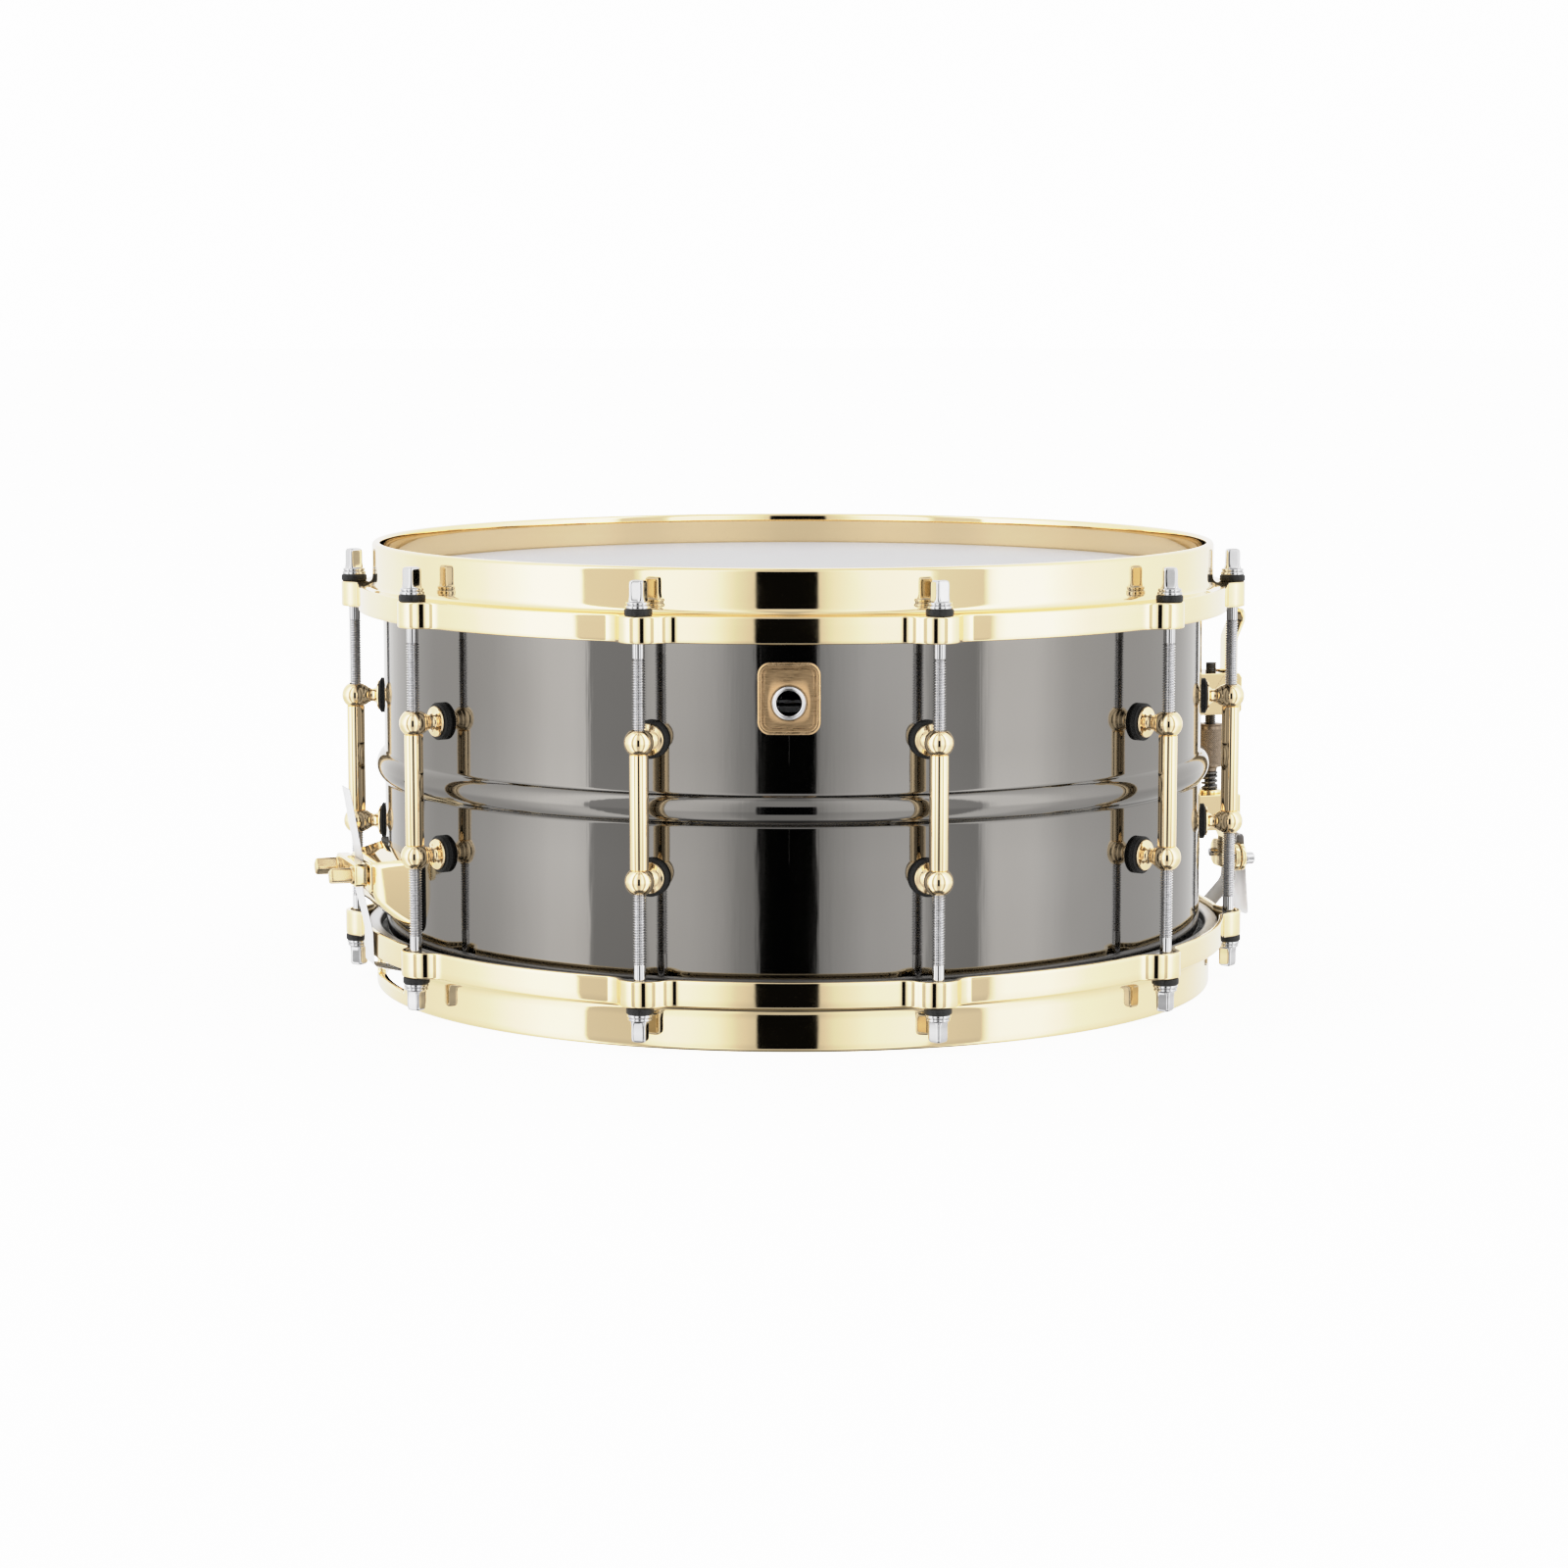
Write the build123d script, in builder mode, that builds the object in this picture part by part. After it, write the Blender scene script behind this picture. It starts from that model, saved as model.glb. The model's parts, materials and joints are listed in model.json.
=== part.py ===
from build123d import *
import os
from math import sin, cos, atan, radians, hypot

os.makedirs("parts", exist_ok=True)

# ---------------------------------------------------------------------------
# Snare drum, 14 x 6.5 inch.  Millimetres, +Z up.
# Origin: drum axis at the plane of the snare hoop's rim, which it stands on.
# Angles run from the front (-Y) towards +X.
# ---------------------------------------------------------------------------

# --- shell ---
shell_r = 177.3            # outer radius of the wall
shell_wall = 1.2
shell_depth = 165.1        # 6.5 inch between the bearing edges
rim_recess = 13.5          # hoop rim beyond each bearing edge
total_h = shell_depth + 2 * rim_recess
mid_z = total_h / 2
edge_r = 3.0               # radius of the bearing edge
bead_half = 7.3            # half height of the centre bead, with its sweeps
bead_rise = 3.6            # how far it stands out
bead_sweep = 1.7           # hollow radius where it leaves the wall

# --- heads ---
batter_film_t = 0.25
snare_film_t = 0.15
flesh_in_r = 179.8
flesh_out_r = 185.4
flesh_h = 6.7

# --- die-cast hoops ---
rim_out_r = 181.8
rim_in_r = 178.3
flange_r = 188.0
flange_gap = 18.4          # rim end to the flange
flange_h = 10.9
web = 2.4                  # thickness of the flange plate
skirt = 2.0                # thickness of the flange wall
ear_centre_r = 186.1
ear_r = 10.2
ear_blend = 9.25
gate_half = 26.6           # snare gate, half width
gate_floor = 5.8

# --- lugs and tension rods ---
n_lugs = 10
lug_angles = [18 + 36 * k for k in range(n_lugs)]
polar_start = lug_angles[0] - 90
rod_r = 190.8              # pitch radius of the tension rods
ball_offset = 27.55        # ball centres above and below mid height
ball_r = 5.9
ball_flat = 4.9
tube_r = 3.85
tube_bore = 3.0
thread_r = 2.7
shank_r = 2.45
ball_bore = 2.78
gasket_r = 7.7
gasket_t = 2.6
key_side = 6.0
rod_end_above_mid = 12.0   # tip of each rod from mid height

# --- fittings ---
butt_angle = -72
strainer_angle = 108
strap_t = 0.4
strap_half = 8.3
lap_z = 11.45              # centre of the straps under the snare plates
screw_col_r = 197.3        # radius of the strainer's adjusting screw
adjust_r = 2.55
pin_R, pin_z = 204.6, 118.5
snare_half_len = 158.0

top_z = total_h
flange_top = top_z - flange_gap
flange_bot = flange_top - flange_h


def radial_plane(theta, r, z):
    """Faces outward at an angle: local x is tangential, local y is up."""
    t = radians(theta)
    return Plane(origin=(r * sin(t), -r * cos(t), z), x_dir=(cos(t), sin(t), 0),
                 z_dir=(sin(t), -cos(t), 0))


def section_plane(theta, s=0):
    """Radial section: local x is the radius, local y is up."""
    t = radians(theta)
    return Plane(origin=(s * cos(t), s * sin(t), 0), x_dir=(sin(t), -cos(t), 0),
                 z_dir=(-cos(t), -sin(t), 0))


def level_plane(theta, r, z):
    """Level plane centred out at a radius: local x points outward."""
    t = radians(theta)
    return Plane(origin=(r * sin(t), -r * cos(t), z), x_dir=(sin(t), -cos(t), 0),
                 z_dir=(0, 0, 1))


def radial_height(shape, theta):
    t = radians(theta)
    return shape.center().X * sin(t) - shape.center().Y * cos(t)


def save(builder, name):
    builder.part.label = name
    export_step(builder.part, "parts/" + name + ".step")


# ---------------------------------------------------------------------------
# Shell: one spun wall with a hollow centre bead and turned-in bearing edges
# ---------------------------------------------------------------------------
R, W = shell_r, shell_wall
er = edge_r
e_top = mid_z + shell_depth / 2
e_bot = mid_z - shell_depth / 2
q = 0.70710678
ax = R - er                       # centre of the edge arc
inner_er = er - W


def edge_points(z_edge, sign):
    """Bearing edge seen in section, from the outer wall to the inner wall."""
    zc = z_edge - sign * er
    return dict(
        o0=(R, zc), om=(ax + er * q, zc + sign * er * q), o1=(ax, z_edge),
        on=(ax - er * sin(radians(22)), zc + sign * er * cos(radians(22))),
        o2=(ax - er * q, zc + sign * er * q),
        tip_o=(ax - er * q - 1.9, zc + sign * (er * q - 1.9)),
        tip_i=(ax - inner_er * q - 1.9, zc + sign * (inner_er * q - 1.9)),
        i2=(ax - inner_er * q, zc + sign * inner_er * q),
        im=(ax, zc + sign * inner_er), i0=(R - W, zc))


t_ = edge_points(e_top, 1)
b_ = edge_points(e_bot, -1)
bead_tilt = 2 * atan(bead_rise / bead_half)            # slope where the curves meet
bead_crown = bead_half / sin(bead_tilt) - bead_sweep   # radius of the crown


def bead_points(grow):
    """Bead in section, grown inward from the outer face by the wall."""
    s, c = bead_sweep + grow, bead_crown - grow
    xs, xc = R + bead_sweep, R + bead_rise - bead_crown
    pts = {}
    for k, g in (("t", 1), ("b", -1)):
        pts[k + "0"] = (xs - s, mid_z + g * bead_half)
        pts[k + "1"] = (xs - s * cos(bead_tilt / 2), mid_z + g * (bead_half - s * sin(bead_tilt / 2)))
        pts[k + "2"] = (xs - s * cos(bead_tilt), mid_z + g * (bead_half - s * sin(bead_tilt)))
    pts["crown"] = (xc + c, mid_z)
    return pts


bo, bi = bead_points(0), bead_points(W)

with BuildPart() as shell:
    with BuildSketch(Plane.XZ) as shell_profile:
        with BuildLine() as shell_line:
            Line(t_["o0"], bo["t0"])
            ThreePointArc(bo["t0"], bo["t1"], bo["t2"])
            ThreePointArc(bo["t2"], bo["crown"], bo["b2"])
            ThreePointArc(bo["b2"], bo["b1"], bo["b0"])
            Line(bo["b0"], b_["o0"])
            ThreePointArc(b_["o0"], b_["om"], b_["o1"])
            ThreePointArc(b_["o1"], b_["on"], b_["o2"])
            Line(b_["o2"], b_["tip_o"])
            Line(b_["tip_o"], b_["tip_i"])
            Line(b_["tip_i"], b_["i2"])
            ThreePointArc(b_["i2"], b_["im"], b_["i0"])
            Line(b_["i0"], bi["b0"])
            ThreePointArc(bi["b0"], bi["b1"], bi["b2"])
            ThreePointArc(bi["b2"], bi["crown"], bi["t2"])
            ThreePointArc(bi["t2"], bi["t1"], bi["t0"])
            Line(bi["t0"], t_["i0"])
            ThreePointArc(t_["i0"], t_["im"], t_["i2"])
            Line(t_["i2"], t_["tip_i"])
            Line(t_["tip_i"], t_["tip_o"])
            Line(t_["tip_o"], t_["o2"])
            ThreePointArc(t_["o2"], t_["on"], t_["o1"])
            ThreePointArc(t_["o1"], t_["om"], t_["o0"])
        make_face()
    revolve(axis=Axis.Z)
    # lug screw holes
    for z in (mid_z - ball_offset, mid_z + ball_offset):
        for a in lug_angles:
            with BuildSketch(radial_plane(a, R - 5, z)):
                Circle(2.2)
            extrude(amount=8, mode=Mode.SUBTRACT)
    # vent hole
    with BuildSketch(radial_plane(0, R - 5, 138.9)):
        Circle(5.65)
    extrude(amount=8, mode=Mode.SUBTRACT)
    # strainer and butt plate screw holes
    for a, z in ((strainer_angle, 56), (strainer_angle, 122), (butt_angle - 7.5, 49),
                 (butt_angle + 7.5, 49)):
        with BuildSketch(radial_plane(a, R - 5, z)):
            Circle(2.2)
        extrude(amount=8, mode=Mode.SUBTRACT)
save(shell, "shell")

# ---------------------------------------------------------------------------
# Badge plate, bent to the shell, and the vent grommet that holds it
# ---------------------------------------------------------------------------
badge_z = 140.6
with BuildPart() as badge:
    with BuildSketch(radial_plane(0, R - 3, badge_z)):
        RectangleRounded(24.9, 28.6, 5.0)
    extrude(amount=6)
    with BuildSketch(Plane.XY.offset(badge_z - 20)):
        Circle(R + 0.8)
        Circle(R, mode=Mode.SUBTRACT)
    extrude(amount=40, mode=Mode.INTERSECT)
    with BuildSketch(radial_plane(0, R - 3, 138.9)):
        Circle(5.65)
    extrude(amount=6, mode=Mode.SUBTRACT)
save(badge, "badge")

with BuildPart() as grommet_seat:
    with BuildSketch(radial_plane(0, R - 8, 138.9)):
        Circle(9)
        Circle(5.62, mode=Mode.SUBTRACT)
    extrude(amount=12)
    with BuildSketch(Plane.XY.offset(120)):
        Circle(R + 0.8)
        Circle(R - W, mode=Mode.SUBTRACT)
    extrude(amount=40, mode=Mode.INTERSECT)
# sleeve through the wall, flared outside and rolled inside
with BuildPart() as vent_grommet:
    with BuildSketch(section_plane(0)):
        with BuildLine():
            Polyline((R - 3.2, 138.9 + 5.0), (R + 1.9, 138.9 + 5.0), (R + 2.2, 138.9 + 5.6),
                     (R + 1.9, 138.9 + 6.9), (R + 0.6, 138.9 + 7.05), (R + 0.6, 138.9 + 5.6),
                     (R - 1.1, 138.9 + 5.6), (R - 1.1, 138.9 + 7.0), (R - 2.6, 138.9 + 7.0),
                     (R - 3.2, 138.9 + 6.2), (R - 3.2, 138.9 + 5.0))
        make_face()
    revolve(axis=Axis((0, 0, 138.9), (0, -1, 0)))
    add(grommet_seat.part, mode=Mode.SUBTRACT)
save(vent_grommet, "vent_grommet")


# ---------------------------------------------------------------------------
# Heads: film over the bearing edge, its rim held in an aluminium flesh hoop
# ---------------------------------------------------------------------------
def head_film(thick, z_edge, sign):
    """Half section of a film that wraps the bearing edge and ends in the flesh hoop."""
    zc = z_edge - sign * er
    ro = er + thick
    bottom = z_edge - sign * (flesh_h + 3.0)
    web_z = z_edge + sign * (rim_recess - flange_gap - web)
    with BuildSketch(Plane.XZ) as sk:
        with BuildLine():
            Line((0, z_edge), (0, z_edge + sign * thick))
            Line((0, z_edge + sign * thick), (ax, z_edge + sign * thick))
            ThreePointArc((ax, z_edge + sign * thick), (ax + ro * q, zc + sign * ro * q), (ax + ro, zc))
            Line((ax + ro, zc), (R + thick, web_z + sign * 0.6))
            Line((R + thick, web_z + sign * 0.6), (flesh_in_r, web_z - sign * 2.2))
            Line((flesh_in_r, web_z - sign * 2.2), (flesh_in_r, web_z - sign * 2.7))
            Line((flesh_in_r, web_z - sign * 2.7), (R, web_z + sign * 0.4))
            Line((R, web_z + sign * 0.4), (R, zc))
            ThreePointArc((R, zc), (ax + er * q, zc + sign * er * q), (ax, z_edge))
            Line((ax, z_edge), (0, z_edge))
        make_face()
    return sk.sketch


with BuildPart() as batter_head_film:
    add(head_film(batter_film_t, e_top, 1))
    revolve(axis=Axis.Z)
save(batter_head_film, "batter_head_film")

with BuildPart() as snare_head_film:
    add(head_film(snare_film_t, e_bot, -1))
    revolve(axis=Axis.Z)
save(snare_head_film, "snare_head_film")

for name, z_in, z_out in (("batter_flesh_hoop", flange_top - web - flesh_h, flange_top - web),
                          ("snare_flesh_hoop", flange_gap + web, flange_gap + web + flesh_h)):
    with BuildPart() as flesh_hoop:
        with BuildSketch(Plane.XZ) as flesh_profile:
            with BuildLine():
                Polyline((flesh_in_r, z_in), (flesh_out_r, z_in), (flesh_out_r, z_out),
                         (flesh_in_r, z_out), close=True)
            make_face()
            fillet(flesh_profile.vertices(), radius=0.9)
        revolve(axis=Axis.Z)
    save(flesh_hoop, name)


# ---------------------------------------------------------------------------
# Die-cast hoops: rim wall, flange plate, skirt and ten hollow ears
# ---------------------------------------------------------------------------
def is_notch(v):
    return hypot(v.X, v.Y) < flange_r + 1.0


with BuildPart() as batter_hoop:
    with BuildSketch(Plane.XY.offset(flange_bot)) as hoop_outline:
        Circle(flange_r)
        with PolarLocations(ear_centre_r, n_lugs, start_angle=polar_start):
            Circle(ear_r)
        fillet(hoop_outline.vertices().filter_by(is_notch), radius=ear_blend)
    extrude(amount=flange_h)
    fillet(batter_hoop.faces().sort_by(Axis.Z)[-1].edges(), radius=0.9)
    fillet(batter_hoop.faces().sort_by(Axis.Z)[0].edges(), radius=0.5)
    # hollow behind the skirt, open towards the shell
    with BuildSketch(Plane.XY.offset(flange_bot)) as hoop_cavity:
        Circle(flange_r - skirt)
        with PolarLocations(ear_centre_r, n_lugs, start_angle=polar_start):
            Circle(ear_r - skirt)
        fillet(hoop_cavity.vertices().filter_by(is_notch), radius=ear_blend + skirt)
    extrude(amount=flange_h - web, mode=Mode.SUBTRACT)
    # rim wall, blended into the flange plate and rounded at its top
    with BuildSketch(Plane.XZ) as rim_profile:
        with BuildLine():
            Line((rim_in_r, flange_top - web), (rim_out_r + 2.0, flange_top - web))
            Line((rim_out_r + 2.0, flange_top - web), (rim_out_r + 2.0, flange_top))
            ThreePointArc((rim_out_r + 2.0, flange_top),
                          (rim_out_r + 2.0 * (1 - q), flange_top + 2.0 * (1 - q)),
                          (rim_out_r, flange_top + 2.0))
            Line((rim_out_r, flange_top + 2.0), (rim_out_r, top_z - 1.7))
            ThreePointArc((rim_out_r, top_z - 1.7),
                          (rim_out_r - 1.7 * (1 - q), top_z - 1.7 * (1 - q)),
                          (rim_out_r - 1.7, top_z))
            Line((rim_out_r - 1.7, top_z), (rim_in_r + 1.3, top_z))
            ThreePointArc((rim_in_r + 1.3, top_z),
                          (rim_in_r + 1.3 * (1 - q), top_z - 1.3 * (1 - q)),
                          (rim_in_r, top_z - 1.3))
            Line((rim_in_r, top_z - 1.3), (rim_in_r, flange_top - web))
        make_face()
    revolve(axis=Axis.Z)
    with BuildSketch(Plane.XY.offset(flange_bot - 1)):
        Circle(rim_in_r)
    extrude(amount=total_h - flange_bot + 2, mode=Mode.SUBTRACT)
    # rod holes
    with BuildSketch(Plane.XY.offset(flange_bot)):
        with PolarLocations(rod_r, n_lugs, start_angle=polar_start):
            Circle(3.0)
    extrude(amount=flange_h + 1, mode=Mode.SUBTRACT)
save(batter_hoop, "batter_hoop")

# the same casting turned over, with its ears on the same rods
hoop_low = batter_hoop.part.solids()[0].rotate(Axis((0, 0, mid_z), (1, 0, 0)), 180)
with BuildPart() as snare_hoop:
    add(hoop_low)
    # snare gates through the rim wall
    for a in (butt_angle, strainer_angle):
        with BuildSketch(radial_plane(a, 172.5, (gate_floor + flange_gap - 0.01) / 2)):
            RectangleRounded(2 * gate_half, flange_gap - 0.01 - gate_floor, 1.5)
        extrude(amount=12.7, mode=Mode.SUBTRACT)
save(snare_hoop, "snare_hoop")


# ---------------------------------------------------------------------------
# Tube lugs: posts with ball ends, tube between them, gaskets and screws
# ---------------------------------------------------------------------------
def revolve_radial(points, z):
    """Closed profile of (radius out from the drum axis, radius about the post)."""
    with BuildSketch(Plane.XZ) as sk:
        with BuildLine():
            Polyline(*[(x, z + r) for x, r in points], close=True)
        make_face()
    return sk.sketch


ball_zs = (mid_z - ball_offset, mid_z + ball_offset)
post_pts = [(R + gasket_t, 0), (R + gasket_t, 6.2), (R + gasket_t + 0.5, 6.5),
            (R + gasket_t + 1.0, 6.35), (R + gasket_t + 1.35, 5.2), (R + gasket_t + 1.8, 4.0),
            (R + gasket_t + 2.4, 3.15), (R + gasket_t + 3.2, 2.85), (R + 6.9, 2.85),
            (R + 7.1, 3.2), (R + 7.6, 3.3), (R + 9.2, 4.35), (R + 9.4, 4.6), (R + 10.4, 4.75),
            (rod_r, 4.75), (rod_r, 0)]

with BuildPart() as one_posts:
    for z in ball_zs:
        add(revolve_radial(post_pts, z))
        revolve(axis=Axis((0, 0, z), (1, 0, 0)))
        with Locations((rod_r, 0, z)):
            Sphere(ball_r)
    for z in ball_zs:
        for side in (-1, 1):
            with BuildSketch(Plane.XY.offset(z + side * (ball_flat + 5))):
                with Locations((rod_r, 0)):
                    Rectangle(2 * ball_r + 1, 2 * ball_r + 1)
            extrude(amount=5, both=True, mode=Mode.SUBTRACT)
        with BuildSketch(Plane.XY.offset(z)):
            with Locations((rod_r, 0)):
                Circle(ball_bore)
        extrude(amount=8, both=True, mode=Mode.SUBTRACT)
        with BuildSketch(radial_plane(90, R, z)):
            Circle(2.0)
        extrude(amount=7.5, mode=Mode.SUBTRACT)

with BuildPart() as lug_posts:
    with PolarLocations(0, n_lugs, start_angle=polar_start):
        add(one_posts.part)
save(lug_posts, "lug_posts")

with BuildPart() as lug_tubes:
    with BuildSketch(Plane.XY.offset(ball_zs[0] + ball_flat)):
        with PolarLocations(rod_r, n_lugs, start_angle=polar_start):
            Circle(tube_r)
        with PolarLocations(rod_r, n_lugs, start_angle=polar_start):
            Circle(tube_bore, mode=Mode.SUBTRACT)
    extrude(amount=2 * (ball_offset - ball_flat))
save(lug_tubes, "lug_tubes")

gasket_pts = [(R - 1, 2.2), (R - 1, gasket_r), (R + 0.5, gasket_r), (R + 0.7, gasket_r - 0.35),
              (R + 0.9, gasket_r), (R + 1.3, gasket_r), (R + 1.5, gasket_r - 0.35),
              (R + 1.7, gasket_r), (R + 2.2, gasket_r), (R + gasket_t, gasket_r - 0.4),
              (R + gasket_t, 2.2)]
with BuildPart() as one_gaskets:
    for z in ball_zs:
        add(revolve_radial(gasket_pts, z))
        revolve(axis=Axis((0, 0, z), (1, 0, 0)))
    with BuildSketch(Plane.XY.offset(mid_z)):
        Circle(R)
    extrude(amount=60, both=True, mode=Mode.SUBTRACT)
with BuildPart() as lug_gaskets:
    with PolarLocations(0, n_lugs, start_angle=polar_start):
        add(one_gaskets.part)
save(lug_gaskets, "lug_gaskets")

screw_pts = [(R - 6.2, 0), (R - 6.2, 3.2), (R - 5.6, 4.1), (R - 3.2, 4.1), (R - 3.2, 1.95),
             (R + 6.6, 1.95), (R + 7.2, 1.4), (R + 7.2, 0)]
washer_pts = [(R - 3.2, 2.2), (R - 3.2, 5.5), (R - W + 0.4, 5.5), (R - W + 0.4, 2.2)]


def screw_at(theta, z, pts):
    """Profile of a radial screw or washer, in its own radial section."""
    with BuildSketch(section_plane(theta)) as sk:
        with BuildLine():
            Polyline(*[(x, z + r) for x, r in pts], close=True)
        make_face()
    return sk.sketch


def radial_axis(theta, z):
    t = radians(theta)
    return Axis((0, 0, z), (sin(t), -cos(t), 0))


with BuildPart() as one_screws:
    for z in ball_zs:
        add(revolve_radial(screw_pts, z))
        revolve(axis=Axis((0, 0, z), (1, 0, 0)))
        # cross recess in the head
        with BuildSketch(radial_plane(90, R - 6.2, z)):
            Rectangle(4.0, 0.9)
            Rectangle(0.9, 4.0)
        extrude(amount=1.2, mode=Mode.SUBTRACT)
with BuildPart() as lug_screws:
    with PolarLocations(0, n_lugs, start_angle=polar_start):
        add(one_screws.part)
save(lug_screws, "lug_screws")

with BuildPart() as one_washers:
    for z in ball_zs:
        add(revolve_radial(washer_pts, z))
        revolve(axis=Axis((0, 0, z), (1, 0, 0)))
    with BuildSketch(Plane.XY.offset(mid_z)):
        Circle(R - W)
    extrude(amount=60, both=True, mode=Mode.INTERSECT)
with BuildPart() as lug_screw_washers:
    with PolarLocations(0, n_lugs, start_angle=polar_start):
        add(one_washers.part)
save(lug_screw_washers, "lug_screw_washers")

# ---------------------------------------------------------------------------
# Tension rods (one node each, because each one turns) and nylon washers
# ---------------------------------------------------------------------------
washer_t = 2.6
seat_z = flange_top + washer_t
with BuildPart() as rod_master:
    with BuildSketch(Plane.XZ) as rod_profile:
        with BuildLine():
            Polyline((0, mid_z + rod_end_above_mid), (thread_r - 0.7, mid_z + rod_end_above_mid),
                     (thread_r, mid_z + rod_end_above_mid + 0.9), (thread_r, flange_bot - 6.6),
                     (shank_r, flange_bot - 6.3), (shank_r, seat_z), (4.75, seat_z),
                     (5.1, seat_z + 0.35), (5.1, seat_z + 1.2), (4.75, seat_z + 1.5),
                     (4.4, seat_z + 1.55), (4.4, seat_z + 1.7), (4.75, seat_z + 1.8),
                     (4.75, seat_z + 2.6), (4.45, seat_z + 2.8), (3.4, seat_z + 3.9),
                     (2.9, seat_z + 5.2), (0, seat_z + 5.2), close=True)
        make_face()
    revolve(axis=Axis.Z)
    with BuildSketch(Plane.XY.offset(seat_z + 2.8)) as key_sq:
        Rectangle(key_side, key_side)
        fillet(key_sq.vertices(), radius=0.8)
    extrude(amount=8.6)
    fillet(rod_master.faces().sort_by(Axis.Z)[-1].edges(), radius=1.3)
rod_low = mirror(rod_master.part, about=Plane.XY.offset(mid_z))

# the key squares stand at assorted angles, as tuning leaves them
key_turn_top = [12, 38, 4, 27, 61, 17, 73, 33, 9, 0]
key_turn_low = [31, 8, 55, 21, 70, 14, 42, 66, 25, 3]
for side, master, turns in (("batter", rod_master.part, key_turn_top), ("snare", rod_low, key_turn_low)):
    for k, a in enumerate(lug_angles):
        t = radians(a)
        with BuildPart() as rod:
            with Locations(Location((rod_r * sin(t), -rod_r * cos(t), 0), (0, 0, a + turns[k]))):
                add(master)
        save(rod, "%s_rod_%02d" % (side, k + 1))

for name, z in (("batter_rod_washers", flange_top), ("snare_rod_washers", flange_gap - washer_t)):
    with BuildPart() as rod_washers:
        with BuildSketch(Plane.XY.offset(z)):
            with PolarLocations(rod_r, n_lugs, start_angle=polar_start):
                Circle(5.55)
        extrude(amount=washer_t)
        chamfer(rod_washers.edges(), length=0.35)
        with BuildSketch(Plane.XY.offset(z)):
            with PolarLocations(rod_r, n_lugs, start_angle=polar_start):
                Circle(2.53)
        extrude(amount=washer_t, mode=Mode.SUBTRACT)
    save(rod_washers, name)

# ---------------------------------------------------------------------------
# Strainer
# ---------------------------------------------------------------------------
SA = strainer_angle
sec = section_plane(SA)
strainer_gasket_t = 2.0
rail_r = 187.0

with BuildPart() as strainer_gasket:
    # two pads, above and below the shell's bead
    with BuildSketch(radial_plane(SA, R - 6, 0)):
        with Locations((0, 65.5)):
            RectangleRounded(25, 40, 3)
        with Locations((0, 119.0)):
            RectangleRounded(25, 27, 3)
    extrude(amount=12)
    with BuildSketch(Plane.XY.offset(40)):
        Circle(R + strainer_gasket_t)
        Circle(R, mode=Mode.SUBTRACT)
    extrude(amount=100, mode=Mode.INTERSECT)
    for z in (56, 122):
        with BuildSketch(radial_plane(SA, R - 5, z)):
            Circle(2.2)
        extrude(amount=12, mode=Mode.SUBTRACT)
save(strainer_gasket, "strainer_gasket")

with BuildPart() as strainer_body:
    # back rail against the shell
    with BuildSketch(radial_plane(SA, R - 6, 89)):
        RectangleRounded(22, 84, 3)
    extrude(amount=rail_r - R + 6)
    # head block that carries the lever and guides the screw
    with BuildSketch(sec):
        with BuildLine():
            Polyline((rail_r - 3, 109.6), (206.8, 109.6), (208.0, 110.8), (208.0, 127.3),
                     (207.0, 128.3), (rail_r - 3, 128.3), close=True)
        make_face()
    extrude(amount=11, both=True)
    with BuildSketch(Plane.XY.offset(40)):
        Circle(R + strainer_gasket_t)
    extrude(amount=100, mode=Mode.SUBTRACT)
    # relief for the shell's bead
    with BuildSketch(Plane.XY.offset(mid_z - bead_half - 1.5)):
        Circle(R + bead_rise + 0.9)
    extrude(amount=2 * bead_half + 3.0, mode=Mode.SUBTRACT)
    # lever slot
    with BuildSketch(sec):
        with Locations((206.0, 119)):
            Rectangle(12.2, 30)
    extrude(amount=8.25, both=True, mode=Mode.SUBTRACT)
    # adjusting screw bore
    with BuildSketch(level_plane(SA, screw_col_r, 100)):
        Circle(adjust_r + 0.09)
    extrude(amount=40, mode=Mode.SUBTRACT)
    # pin hole
    with BuildSketch(sec):
        with Locations((pin_R, pin_z)):
            Circle(1.5)
    extrude(amount=12, both=True, mode=Mode.SUBTRACT)
    # guide groove for the sliding block
    with BuildSketch(radial_plane(SA, rail_r - 2.6, 78.8)):
        Rectangle(6.2, 61)
    extrude(amount=6, mode=Mode.SUBTRACT)
    for z in (56, 122):
        with BuildSketch(radial_plane(SA, R, z)):
            Circle(2.0)
        extrude(amount=6.6, mode=Mode.SUBTRACT)
save(strainer_body, "strainer_body")

short_screw_pts = [(R - 6.2, 0), (R - 6.2, 3.2), (R - 5.6, 4.1), (R - 3.2, 4.1), (R - 3.2, 1.95),
                   (R + 5.6, 1.95), (R + 6.2, 1.4), (R + 6.2, 0)]
short_washer_pts = [(R - 3.2, 2.2), (R - 3.2, 5.5), (R - W + 0.4, 5.5), (R - W + 0.4, 2.2)]
for name, spots in (("strainer_screws", ((SA, 56), (SA, 122))),
                    ("butt_screws", ((butt_angle - 7.5, 49), (butt_angle + 7.5, 49)))):
    with BuildPart() as fix_screws:
        for a, z in spots:
            add(screw_at(a, z, short_screw_pts))
            revolve(axis=radial_axis(a, z))
    save(fix_screws, name)
with BuildPart() as fitting_washers:
    for a, z in ((SA, 56), (SA, 122), (butt_angle - 7.5, 49), (butt_angle + 7.5, 49)):
        add(screw_at(a, z, short_washer_pts))
        revolve(axis=radial_axis(a, z))
    with BuildSketch(Plane.XY.offset(mid_z)):
        Circle(R - W)
    extrude(amount=60, both=True, mode=Mode.INTERSECT)
save(fitting_washers, "fitting_screw_washers")

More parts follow.
